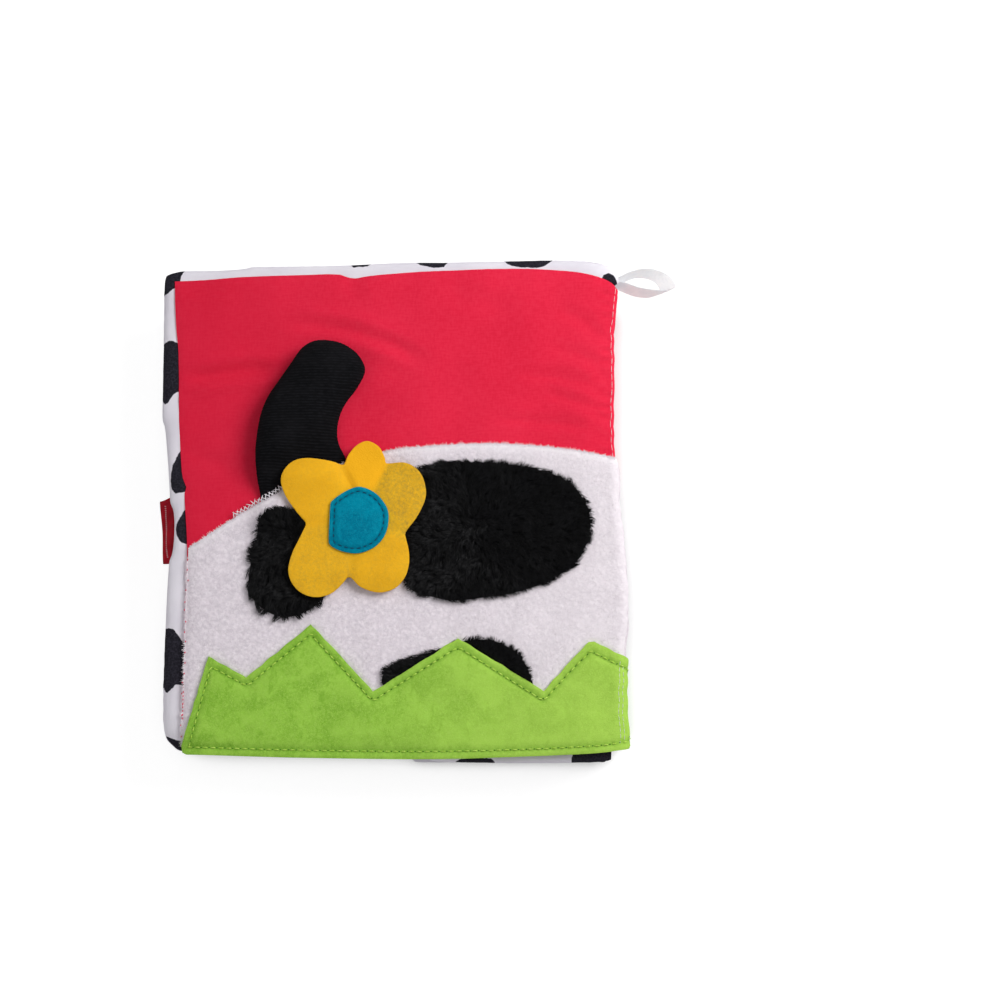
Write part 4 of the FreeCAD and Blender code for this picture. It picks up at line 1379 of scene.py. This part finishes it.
def make_back_cloths():
    lay_cloth(
        "back_sky_cloth", PANEL, 1.7 * MM, sky_lie, RED, hinge_back, "back_sky", ["back_cover_lining"],
        lifts=(SKY_LOW, SKY_HIGH), folds=True,
    )
    lay_cloth(
        "back_plush_cloth", PLUSH_CUT, 2.0 * MM, plush_lie, PLUSH, hinge_back, "back_plush",
        ["back_sky_cloth"], pile=back_pile, crisp=60, rims=(0.5 * MM, 1.2 * MM, 2.2 * MM),
        mark=plush_rim_highlight, folds=True,
    )
    lay_cloth(
        "back_grass_felt", GRASS_CUT, 1.0 * MM, grass_lie, GREEN, hinge_back, "back_grass",
        ["back_plush_cloth"], crisp=40, rims=(0.4 * MM, 0.9 * MM), mark=grass_groove_shade, folds=True,
    )


def back_pile():
    """Short fibres over the plush, and a fringe of them past its sewn edges."""
    draw = np.random.default_rng(4)
    low, high = PLUSH_CUT.min(axis=0), PLUSH_CUT.max(axis=0)
    flat = draw.uniform(low, high, (52000, 2))
    bare = depth_in(flat, GRASS_CUT) < 0.5 * MM
    for patch in (RUMP, FLANK, BELLY):
        bare &= depth_in(flat, line_through(patch, 2 * MM)) < 1 * MM
    bare &= flat[:, 0] < 93 * MM
    flat = flat[(depth_in(flat, PLUSH_CUT) > 0.1 * MM) & bare]
    lean = draw.uniform(0, math.tau, len(flat))
    reach = draw.uniform(0.3, 0.8, len(flat)) * MM
    fore = np.repeat(open_line(PLUSH_FORE, 0.35 * MM), 8, axis=0)
    head = np.repeat(open_line(PLUSH_HEAD, 0.25 * MM), 8, axis=0)
    rim = np.concatenate([fore, head])
    rim = rim + np.column_stack([draw.normal(0, 0.3, len(rim)), draw.normal(-0.4, 0.5, len(rim))]) * MM
    out = np.concatenate([np.full(len(fore), math.pi), np.full(len(head), math.radians(100))])
    out = out + draw.normal(0, 0.8, len(rim))
    held = inside(rim, PLUSH_CUT) & (rim[:, 0] < 94 * MM)
    flat = np.concatenate([flat, rim[held]])
    lean = np.concatenate([lean, out[held]])
    along = np.concatenate([fore[:, 1], head[:, 0]])
    tuft_turn = along * math.pi / (2.7 * MM) + 2 * np.sin(along * math.tau / (19 * MM))
    tufted = 0.6 + 0.9 * np.abs(np.sin(tuft_turn)) ** 2
    reach = np.concatenate([reach, (draw.uniform(0.4, 1.2, len(rim)) * tufted * MM)[held]])
    tips = flat + reach[:, None] * heading(lean)
    tips[:, 0] = np.minimum(tips[:, 0], high[0])
    root_lift = np.full(len(flat), 0.85)
    tip_lift = 1.0 + draw.uniform(0.15, 0.5, len(flat))
    side = np.column_stack([-np.sin(lean), np.cos(lean), np.zeros(len(flat))])
    roots, tips = plush_lie(flat, root_lift), plush_lie(tips, tip_lift)
    pile = specks("back_plush_pile", roots, tips, side, 0.26 * MM)
    dress(pile, PILE, hinge_back)
    return pile


def place_on_spine(height):
    """The lie of a cloth on the spine strip, for flat places (share of the height, y)."""
    def lie(flat, lift):
        beside = np.column_stack([np.full(len(flat), CLOTH_END * MM), flat[:, 1]])
        return on_spine(flat, height(beside, lift))
    return lie


def spine_ring(low, high):
    """The cut of a strip on the spine, from its foot to its head in millimetres."""
    ends = [(0, low), (SPINE_SPAN / MM, low), (SPINE_SPAN / MM, high), (0, high)]
    return line_through(ends, 2.0 * MM, smooth=False)


def spine_pile():
    """Short fibres over the plush of the spine, down to the felt."""
    place = place_on_spine(plush_height)
    draw = np.random.default_rng(9)
    flat = draw.uniform((0.2 * MM, -64 * MM), (SPINE_SPAN - 0.2 * MM, 23.4 * MM), (5200, 2))
    tips = flat + draw.normal(0, 0.4 * MM, flat.shape)
    side = np.column_stack([np.zeros(len(flat)), draw.normal(0, 1, len(flat)), draw.normal(0, 1, len(flat))])
    pile = specks("spine_plush_pile", place(flat, 0.85), place(tips, 1.45), unit(side), 0.34 * MM)
    dress(pile, PILE, "leaves_and_spine")
    return pile


def spine_sky_height(beside, lift):
    return SKY_LOW + (SKY_HIGH - SKY_LOW) * lift


def make_spine_cloths():
    step, body = 2.0 * MM, "leaves_and_spine"
    lay_cloth(
        "spine_sky_cloth", spine_ring(CLOTH_FOOT, SKY_TOP), step, place_on_spine(spine_sky_height),
        RED, body, "spine_sky", ["leaves_of_the_book"], held="stretched",
    )
    lay_cloth(
        "spine_plush_cloth", spine_ring(CLOTH_FOOT, PLUSH_TOP), step, place_on_spine(plush_height),
        PLUSH, body, "spine_plush", ["spine_sky_cloth"], held="stretched", pile=spine_pile, crisp=60,
    )
    lay_cloth(
        "spine_grass_felt", spine_ring(-98.7, -64.3), step, place_on_spine(grass_height),
        GREEN, body, "spine_grass", ["spine_plush_cloth"], held="stretched", crisp=40,
    )


def make_front_cloths():
    """The front cover wears the same cloths, a little shorter and pressed level by the book's weight."""
    shorter = np.array([1.0, 0.972])

    def sky_at(flat, lift):
        return wrapped(flat * shorter, lift, front_base, -1)

    def plush_at(flat, lift):
        return wrapped(flat * shorter, plush_height(flat, lift, 2.95 * MM, 0.64, 0.0), front_base, -1)

    def grass_at(flat, lift):
        return wrapped(flat * shorter, grass_height(flat, lift, 1.55 * MM, 3.0 * MM, 0.0), front_base, -1)

    lay_cloth(
        "front_sky_cloth", PANEL, 2.4 * MM, sky_at, RED, hinge_front, "front_sky", ["front_cover_lining"],
        lifts=(SKY_LOW, SKY_HIGH), folds=True,
    )
    lay_cloth(
        "front_plush_cloth", PLUSH_CUT, 2.4 * MM, plush_at, PLUSH, hinge_front, "front_plush",
        ["front_sky_cloth"], crisp=60, folds=True,
    )
    lay_cloth(
        "front_grass_felt", GRASS_CUT, 2.0 * MM, grass_at, GREEN, hinge_front, "front_grass",
        ["front_plush_cloth"], crisp=40, folds=True,
    )


# ------------------------------------------------------------------ fur, tail and flower

def fur_lie(flat, height):
    """The lie of the fur, at a height above the plush's own base."""
    under_grass = ease(depth_in(flat, GRASS_CUT), -3 * MM, 0.5 * MM)
    return wrapped(flat, height + root_rise(flat) - 0.7 * MM * under_grass, BACK_RELIEF, 1)


def fur_hair(name, ring, crown, seed, spikes):
    """Locks of hair that fan out from a crown. spikes is how far the locks at the edge stick out."""
    draw = np.random.default_rng(seed)
    gap = 2.1 * MM
    low, high = ring.min(axis=0), ring.max(axis=0)
    rows = np.arange(low[1], high[1], gap * ROW_SHARE)
    columns = np.arange(low[0], high[0], gap)
    middles = np.array([(x + gap / 2 * (i % 2), y) for i, y in enumerate(rows) for x in columns])
    middles = middles + draw.normal(0, 0.6 * MM, middles.shape)
    middles = middles[depth_in(middles, ring) > 0.2 * MM]
    hairs = 38
    centre = np.repeat(middles, hairs, axis=0)
    count = len(centre)
    roots = centre + draw.normal(0, 0.85 * MM, (count, 2))
    outward = centre - np.array(crown) * MM
    turn = np.arctan2(outward[:, 1], outward[:, 0])
    turn = turn + 0.9 * waver(centre[:, 0], centre[:, 1], 19 * MM, seed + 1)
    turn += np.repeat(draw.normal(0, 0.25, len(middles)), hairs)
    way = heading(turn)
    edge = depth_in(centre, ring)
    short = 0.35 + 0.22 * spikes
    reach = (draw.uniform(2.4, 4.4, count) * (short + (1 - short) * ease(edge, 0, 5 * MM)) * MM)[:, None]
    gathered = np.maximum(0.22 * spikes, 0.22 + 0.36 * ease(edge, 1 * MM, 7 * MM))[:, None]
    own = roots + reach * heading(turn + draw.normal(0, 0.35, count))
    lock = np.repeat(draw.uniform(3.0, 4.8, len(middles)), hairs)[:, None] * MM
    tips = own * (1 - gathered) + (centre + way * lock) * gathered
    stray = np.repeat(0.2 + spikes * draw.uniform(0, 1, len(middles)) ** 3, hairs) * MM
    petals = line_through(FLOWER, 2 * MM)
    keep = (depth_in(roots, ring) > 0.5 * MM) & (depth_in(tips, ring) > -stray)
    keep &= (depth_in(roots, GRASS_CUT) < 0.2 * MM) & (depth_in(tips, petals) < 0.6 * MM)
    roots, tips, turn = roots[keep], tips[keep], turn[keep]
    bend = roots + (tips - roots) * 0.45
    stand = draw.uniform(0.9, 1.9, len(roots)) * (0.4 + 0.6 * ease(depth_in(roots, ring), 0, 5 * MM)) * MM
    stand *= 1 - 0.5 * ease(depth_in(roots, petals), -2 * MM, 1 * MM)
    rooted = fur_lie(roots, FUR_HIGH - 0.2 * MM)
    bent = fur_lie(bend, FUR_HIGH + stand)
    ended = fur_lie(tips, FUR_HIGH + stand * draw.uniform(0.4, 1.15, len(roots)))
    roll = draw.normal(0, 0.5, len(roots))
    side = np.column_stack([-np.sin(turn) * np.cos(roll), np.cos(turn) * np.cos(roll), np.sin(roll)])
    hair = blades(name, rooted, bent, ended, side, 0.30 * MM)
    dress(hair, FUR, "back_cover")
    return hair


def make_fur(name, outline, crown, seed, node, spikes):
    """A patch of fur: its cloth and its hair."""
    ring = even_ring(outline, 1.5 * MM, 1.6 * MM)

    def hair():
        return fur_hair(name + "_hair", ring, crown, seed, spikes)

    lay_cloth(
        name + "_cloth", inset(ring, 1.3 * MM), 2.2 * MM, fur_lie, FUR, "back_cover", node,
        ["back_plush_cloth"], pile=hair, lifts=(FUR_LOW, FUR_HIGH), crisp=60,
    )


def make_tail():
    """A stuffed knit tube with a round end, its flat root tucked under the plush."""
    ring = even_ring(TAIL_OUTLINE, 1.0 * MM, 1.0 * MM)

    def lie(flat, lift):
        """lift is 0 for the side on the sky cloth and 1 for the side that shows."""
        clear = np.maximum(-depth_in(flat, PLUSH_CUT), 0)
        thick = 2.0 * MM + 12.8 * MM * ease(clear, -1 * MM, 21 * MM)
        half = (17.5 - 3.0 * ease(flat[:, 1], 45 * MM, 70 * MM)) * MM
        share = np.clip(depth_in(flat, ring) / half, 0, 1)
        roundness = np.sqrt(1 - (1 - share) ** 2)
        seat = BACK_RELIEF(flat[:, 0], flat[:, 1]) + SKY_HIGH + 0.15 * MM
        if lift == 0:
            return np.column_stack([flat, seat + thick * (0.47 - 0.47 * np.minimum(roundness * 1.15, 1))])
        dent = 0.35 * MM * waver(flat[:, 0], flat[:, 1], 15 * MM, 6) * thick / (14 * MM)
        return np.column_stack([flat, seat + thick * (0.48 + 0.52 * roundness) + dent])

    rims = (0.15 * MM, 0.5 * MM, 1.1 * MM, 1.9 * MM)
    tail = cloth_piece("stuffed_tail", ring, 1.6 * MM, lie, crisp=180, rims=rims)
    dress(tail, KNIT, "back_cover", ["tail"])


def petal_height(flat):
    """The felt flower waves: it dips to its notches, is pleated at the head and lies low over the plush."""
    middle = np.array(DISC_MIDDLE) * MM
    away = np.linalg.norm(flat - middle, axis=1)
    rise = np.zeros(len(flat))
    for notch in FLOWER_NOTCHES:
        line = np.array([middle, np.array(notch) * MM])
        gap, along = nearest_on(flat, line)
        rise -= 0.7 * MM * bell(gap, 2.4 * MM) * ease(along, 9 * MM, 18 * MM)
    x, y = flat.T
    rise += 1.1 * MM * ease(away, 16 * MM, 36 * MM) * waver(x, y, 30 * MM, 21)
    on_tail = ease(y, 2 * MM, 18 * MM) * ease(-x, 18 * MM, 32 * MM)
    rise += 1.9 * MM * on_tail
    rise -= 1.6 * MM * ease(-y, 24 * MM, 36 * MM)
    pleat = np.array([(-21.8, 20.6), (-19.6, 15.4), (-15.6, 9.6)]) * MM
    gap, along = nearest_on(flat, pleat)
    side = np.sign((x - pleat[0, 0]) * 0.9 + (y - pleat[0, 1]) * 0.45)
    rise += 0.36 * MM * side * bell(gap, 3.2 * MM) * ease(away, 9 * MM, 14 * MM)
    return rise


def petal_tone(flat):
    """The nap of each petal catches the light its own way."""
    middle = np.array(DISC_MIDDLE) * MM
    turn = np.degrees(np.arctan2(flat[:, 1] - middle[1], flat[:, 0] - middle[0])) % 360
    edges = [0, 62, 66, 104, 108, 184, 190, 262, 266, 334, 342, 360]
    tones = [0.0, 0.0, 0.9, 0.9, 0.52, 0.52, 0.22, 0.22, 0.4, 0.4, 0.0, 0.0]
    away = np.linalg.norm(flat - middle, axis=1)
    return np.interp(turn, edges, tones) * ease(away, 8 * MM, 16 * MM)


def make_flower():
    """The felt petals, which lie over the fur and the tail."""
    ring = even_ring(FLOWER, 1.0 * MM, 1.1 * MM)
    level = BACK_PAD_HIGH.z + 5.9 * MM

    def at(flat, lift):
        edge = depth_in(flat, ring)
        worn = 0.18 * MM * (1 - ease(edge, 0, 0.5 * MM)) * (1 if lift else -1)
        return np.column_stack([flat, level + 1.3 * MM * lift + petal_height(flat) - worn])

    lay_cloth(
        "flower_felt", ring, 1.5 * MM, at, YELLOW, "back_cover", "flower_petals",
        ["flank_fur_cloth", "rump_fur_cloth", "stuffed_tail"], rims=(0.35 * MM, 0.8 * MM), mark=petal_tone,
    )
    make_disc(level)


def make_disc(level):
    """The middle of the flower, domed and held by a ring of stitches."""
    disc_ring = even_ring(DISC, 0.8 * MM, 0.9 * MM)
    disc_seam = even_line(inset(disc_ring, 2.0 * MM), 1.0 * MM, closed=True)
    middle = np.array([DISC_MIDDLE]) * MM

    # Painted shade: the disc is painted darker along its stitched groove.
    def disc_groove_shade(flat):
        gap, _ = nearest_on(flat, disc_seam, closed=True)
        return 0.5 * bell(gap, 0.6 * MM)

    def disc_at(flat, lift):
        gap, _ = nearest_on(flat, disc_seam, closed=True)
        away = np.linalg.norm(flat - middle, axis=1)
        groove = 0.5 * MM * bell(gap, 0.7 * MM) * lift
        dome = 0.5 * MM * (1 - (away / (13 * MM)) ** 2)
        worn = 0.3 * MM * (1 - ease(depth_in(flat, disc_ring), 0, 0.8 * MM)) * lift
        height = level + (1.35 + 1.3 * lift) * MM + petal_height(flat) * 0.5
        return np.column_stack([flat, height + dome - groove - worn])

    lay_cloth(
        "flower_disc", disc_ring, 1.0 * MM, disc_at, TEAL, "back_cover", "flower_centre", ["flower_felt"],
        rims=(0.3 * MM, 0.7 * MM), mark=disc_groove_shade,
    )

    def over_disc(flat, lift):
        return disc_at(flat, 1.0) + np.array([0, 0, 1]) * lift

    seats = seats_on(disc_seam, 2.7 * MM, over_disc, 0.12 * MM, closed=True)
    stitches = sew("disc_stitches", seats, 1.9 * MM, 0.36 * MM, 0.12 * MM)
    dress(stitches, NAVY_THREAD, "back_cover")


# ------------------------------------------------------------------ ribbons

def ribbon_strip(name, path, ups, width, thick):
    """A flat ribbon along a path of points, thinner at its edges; ups point across its width."""
    out = unit(np.cross(ahead_of(path, closed=False), ups))
    across = np.linspace(-0.5, 0.5, 7)
    edge_thin = np.array([0.45, 0.8, 1, 1, 1, 0.8, 0.45])
    count = len(path)
    along = np.concatenate([[0], np.cumsum(np.linalg.norm(np.diff(path, axis=0), axis=1))])
    outer = [path + ups * width * a + out * thick / 2 * e for a, e in zip(across, edge_thin)]
    inner = [path + ups * width * a - out * thick / 2 * e for a, e in zip(across[::-1], edge_thin)]
    lanes = [*across, *across[::-1]]
    flat = np.concatenate([np.column_stack([along, np.full(count, width * a)]) for a in lanes])
    rows = len(lanes)
    faces = []
    for r in range(rows):
        s = (r + 1) % rows
        for k in range(count - 1):
            faces.append((r * count + k, r * count + k + 1, s * count + k + 1, s * count + k))
    faces.append(tuple(r * count for r in range(rows)))
    faces.append(tuple(r * count + count - 1 for r in range(rows))[::-1])
    return new_piece(name, np.concatenate(outer + inner), faces, flat, crisp=70)


def make_loop():
    """The hanging ribbon. Its ends stop 4 mm short of the spine, and its nose lies nearly flat."""
    upper = open_line(LOOP_UPPER, 0.8 * MM)
    lower = even_line(open_line(LOOP_LOWER, 0.8 * MM), 0.8 * MM)
    share = np.linspace(0, 1, len(lower))
    at = np.linspace(0, 1, len(upper))
    lower = np.stack([np.interp(at, share, lower[:, k]) for k in range(2)], axis=1)
    width = 7.2 * MM
    lean = np.linalg.norm(upper - lower, axis=1)
    rise = np.sqrt(np.maximum(width**2 - lean**2, (2.2 * MM) ** 2))
    middle = (LOOP_LOW.z + LOOP_HIGH.z) / 2 + 1.0 * MM * np.sin(at * math.pi)
    path = np.column_stack([(upper + lower) / 2, middle])
    ups = unit(np.column_stack([upper - lower, rise]))
    loop = ribbon_strip("hanging_loop", path, ups, width, 0.75 * MM)
    dress(loop, LOOP_RIBBON, "leaves_and_spine", ["hang_loop"])


def make_tag():
    """A plain folded ribbon in the fore edge seam of the back cover, with a row of pale stitches."""
    low, high = TAG_LOW.y, TAG_HIGH.y
    middle = (TAG_LOW.z + TAG_HIGH.z) / 2 + 0.9 * MM
    shape = open_line(TAG_FOLD, 0.4 * MM)
    path = np.column_stack([shape[:, 0], np.full(len(shape), (low + high) / 2), shape[:, 1] + middle])
    ups = np.tile([0.0, 1.0, 0.0], (len(path), 1))
    tag = ribbon_strip("side_tag_ribbon", path, ups, high - low, 0.5 * MM)
    apply_modifier(tag, "SUBSURF", levels=2, render_levels=2)
    at = places_of(tag.data)
    t = (at[:, 1] - low) / (high - low)
    out = ease(-at[:, 0], 94 * MM, 100 * MM)
    at[:, 0] += out * (1.05 - 1.95 * t**2) * MM
    at[:, 1] += (0.7 + 2.4 * t - 2.1 * out * t) * MM
    at[:, 2] += out * (0.8 * np.sin(t * 9.0) - 1.3) * MM
    set_places(tag.data, at)
    tag.data.set_sharp_from_angle(angle=math.radians(70))
    dress(tag, TAG_RIBBON, "back_cover", ["side_tag"])
    tree = tree_of(tag)

    def on_tag(flat, lift):
        tops = [tree.ray_cast(Vector((x, y, SKYWARD)), DOWN)[0].z for x, y in flat]
        return np.column_stack([flat, np.array(tops) + lift])

    row = open_line(TAG_SEAM, 0.5 * MM)
    here, along, out = seats_on(row, 0.85 * MM, on_tag, 0.05 * MM)
    stitches = sew("tag_stitches", (here, np.cross(out, along), out), 0.8 * MM, 0.22 * MM, 0.06 * MM)
    dress(stitches, WHITE_THREAD, "back_cover")


# ------------------------------------------------------------------ seams

def make_grass_stitches():
    """Two rows of topstitching on the felt, with a dark dot between each two stitches: painted shade in the
    stitch holes.
    """
    def place(flat, lift):
        return wrapped(flat, grass_height(flat, 1.0) + lift, BACK_RELIEF, 1)

    for name, seam in (("grass_tip_stitches", GRASS_SEAM), ("grass_foot_stitches", GRASS_FOOT_SEAM)):
        seats = seats_on(seam, GRASS_STITCH, place, 0.34 * MM)
        stitches = sew(name, seats, 2.1 * MM, 0.5 * MM, 0.22 * MM)
        dress(stitches, GREEN_THREAD, hinge_back)
        between = (seats[0][:-1] + seats[0][1:]) / 2, seats[1][:-1], seats[2][:-1]
        # Dark dots between the stitches: painted shade in the holes where the thread goes through.
        hole_shades = sew(name + "_hole_shade", between, 0.6 * MM, 0.5 * MM, 0.0)
        dress(hole_shades, STITCH_HOLE_SHADE, hinge_back)


def make_fold_stitches():
    """The seam down the fold: over the sky cloth, the plush and the felt."""
    def over(flat, lift):
        sky = sky_lie(flat, SKY_HIGH + lift)
        plush = wrapped(flat, plush_height(flat, 1.25) + lift, BACK_RELIEF, 1)
        felt_top = wrapped(flat, grass_height(flat, 1.0) + lift, BACK_RELIEF, 1)
        on_plush = flat[:, 1:] < PLUSH_TOP * MM
        on_felt = depth_in(flat, GRASS_CUT)[:, None] > 0
        return np.where(on_felt, felt_top, np.where(on_plush, plush, sky))

    # Each seam's line, then its pitch and the length, thickness and arch of its stitches.
    seams = {
        "fold_stitches_inner": ([(92.7, -64), (92.4, -97)], 2.6, 2.3, 0.18, 0.05),
        "fold_stitches_outer": ([(93.8, -66), (93.4, -95)], 2.6, 2.3, 0.18, 0.05),
        "sky_fold_stitches": (SKY_FOLD_SEAM, 3.4, 3.1, 0.20, 0.08),
    }
    for name, (line, pitch, length, thick, arch) in seams.items():
        seats = seats_on(open_line(line, 1.0 * MM), pitch * MM, over, 0.05 * MM)
        stitches = sew(name, seats, length * MM, thick * MM, arch * MM)
        dress(stitches, WHITE_THREAD, hinge_back)


def make_overlock():
    """Loose loops of white thread over the root of the tail, along the plush edge."""
    draw = np.random.default_rng(31)
    edge = open_line(PLUSH_HEAD, 0.5 * MM)
    edge = edge[(edge[:, 0] > -68 * MM) & (edge[:, 0] < -42 * MM)]
    middles = even_line(edge, 0.85 * MM)
    ahead = ahead_of(middles, closed=False)
    across = np.column_stack([-ahead[:, 1], ahead[:, 0]])
    swing = np.where(np.arange(len(middles)) % 2 == 0, 0.62, -0.62)
    swing = swing + draw.normal(0, 0.22, len(middles))
    way = across * np.cos(swing)[:, None] + ahead * np.sin(swing)[:, None]
    middles = middles + across * draw.uniform(0.6, 1.5, len(middles))[:, None] * MM
    here = wrapped(middles, plush_height(middles, 1.0) + root_rise(middles) + 0.6 * MM, BACK_RELIEF, 1)
    along = np.column_stack([way, np.zeros(len(way))])
    out = np.tile(UP, (len(way), 1))
    threads = sew("tail_overlock", (here, along, out), 3.1 * MM, 0.38 * MM, 0.6 * MM)
    dress(threads, WHITE_THREAD, "back_cover")


def make_red_ticks():
    """Ends of red thread that show along the plush's fore seam."""
    draw = np.random.default_rng(17)
    fore = even_line(open_line(PLUSH_FORE, 1.0 * MM), 4.3 * MM)
    fore = fore + draw.normal(0, 0.25 * MM, fore.shape)
    foot = even_line(np.array([(-88.3, -76), (-88.4, -87)]) * MM, 1.5 * MM)
    flat = np.concatenate([fore, foot])
    here = wrapped(flat, plush_height(flat, 1.0) + 0.35 * MM, BACK_RELIEF, 1)
    along = np.tile([0.0, 1.0, 0.0], (len(flat), 1))
    out = np.tile(UP, (len(flat), 1))
    ticks = sew("red_seam_ticks", (here, along, out), 0.8 * MM, 0.42 * MM, 0.05 * MM)
    dress(ticks, RED_THREAD, "back_cover")


make_back_cloths()
make_spine_cloths()
make_front_cloths()
make_fur("rump_fur", RUMP, (-42, -12), 41, "rump_patch", 2.6)
make_fur("flank_fur", FLANK, (34, -4), 42, "flank_patch", 1.4)
make_fur("belly_fur", BELLY, (30, -76), 43, "belly_patch", 1.1)
make_tail()
make_flower()
make_loop()
make_tag()
make_grass_stitches()
make_fold_stitches()
make_overlock()
make_red_ticks()


# ------------------------------------------------------------------ camera, light and floor

CAMERA_TILT = math.radians(8.5)
CAMERA_AIM = Vector((0.0447, 0.0056, 0.037))
CAMERA_AWAY = 1.0
VIEW_WIDTH = 0.425
SENSOR = 36
WORLD_LIGHT = 0.36
FLOOR_REACH = 3.0
PAPER = (0.9, 0.9, 0.9, 1)
PAPER_SEEN = (0.36, 0.36, 0.36, 1)
PAPER_GLOW = 0.83
WHITE_LIGHT = (1, 1, 1, 1)
NO_LIGHT = (0, 0, 0, 1)


def linked(thing):
    """Puts an object in the scene."""
    bpy.context.scene.collection.objects.link(thing)
    return thing


def make_camera():
    data = bpy.data.cameras.new("camera")
    data.sensor_width = SENSOR
    data.lens = SENSOR * CAMERA_AWAY / VIEW_WIDTH
    data.clip_start = 0.01
    camera = linked(bpy.data.objects.new("camera", data))
    camera.location = CAMERA_AIM + Vector((0, -math.sin(CAMERA_TILT), math.cos(CAMERA_TILT))) * CAMERA_AWAY
    camera.rotation_euler = (CAMERA_TILT, 0, 0)
    bpy.context.scene.camera = camera


def make_lamp(name, place, size, power):
    """A round soft lamp that looks at the book."""
    data = bpy.data.lights.new(name, "AREA")
    data.shape = "DISK"
    data.size = size
    data.energy = power
    made = linked(bpy.data.objects.new(name, data))
    made.location = place
    towards = Vector((0, 0, 0.02)) - Vector(place)
    made.rotation_euler = towards.to_track_quat("-Z", "Y").to_euler()


def make_world():
    """An even studio light, which the camera sees as plain white."""
    world = bpy.data.worlds.new("studio")
    bpy.context.scene.world = world
    world.use_nodes = True
    tree = world.node_tree
    back = tree.nodes["Background"]
    back.inputs["Color"].default_value = WHITE_LIGHT
    path = tree.nodes.new("ShaderNodeLightPath")
    either = tree.nodes.new("ShaderNodeMath")
    either.operation = "MAXIMUM"
    tree.links.new(path.outputs["Is Camera Ray"], either.inputs[0])
    tree.links.new(path.outputs["Is Transmission Ray"], either.inputs[1])
    level = tree.nodes.new("ShaderNodeMapRange")
    tree.links.new(either.outputs[0], level.inputs["Value"])
    level.inputs["To Min"].default_value = WORLD_LIGHT
    level.inputs["To Max"].default_value = 1.0
    tree.links.new(level.outputs[0], back.inputs["Strength"])


def make_floor():
    """White paper. The camera sees it glow up to the white around it, less so where the book is near, as a
    painted contact shadow.
    """
    mesh = bpy.data.meshes.new("floor")
    corners = [(-1, -1), (1, -1), (1, 1), (-1, 1)]
    mesh.from_pydata([(x * FLOOR_REACH, y * FLOOR_REACH, 0) for x, y in corners], [], [(0, 1, 2, 3)])
    floor = linked(bpy.data.objects.new("floor", mesh))
    paper = Finish("white_floor", Roughness=0.9, Specular_IOR_Level=0.0)
    path = paper.node("ShaderNodeLightPath")
    paper.set("Base Color", paper.mix(path, PAPER, PAPER_SEEN))
    # Painted contact shadow: the glow is dimmed by ambient occlusion near the book.
    near = paper.node("ShaderNodeAmbientOcclusion", {"samples": 8}, {"Distance": 0.012}, out=1)
    glow = path * near.between(0.45, 0.97, 0.5, 1.0)
    paper.set("Emission Color", paper.mix(glow, NO_LIGHT, WHITE_LIGHT))
    paper.set("Emission Strength", PAPER_GLOW)
    mesh.materials.append(paper.material)


make_camera()
make_lamp("key", (0.52, 0.28, 0.58), 0.50, 5.2)
make_lamp("fill", (-0.7, -0.9, 1.3), 1.2, 2.6)
make_lamp("side", (-0.9, 0.1, 0.22), 0.5, 0.9)
make_world()
make_floor()
bpy.context.scene.view_settings.view_transform = "Standard"
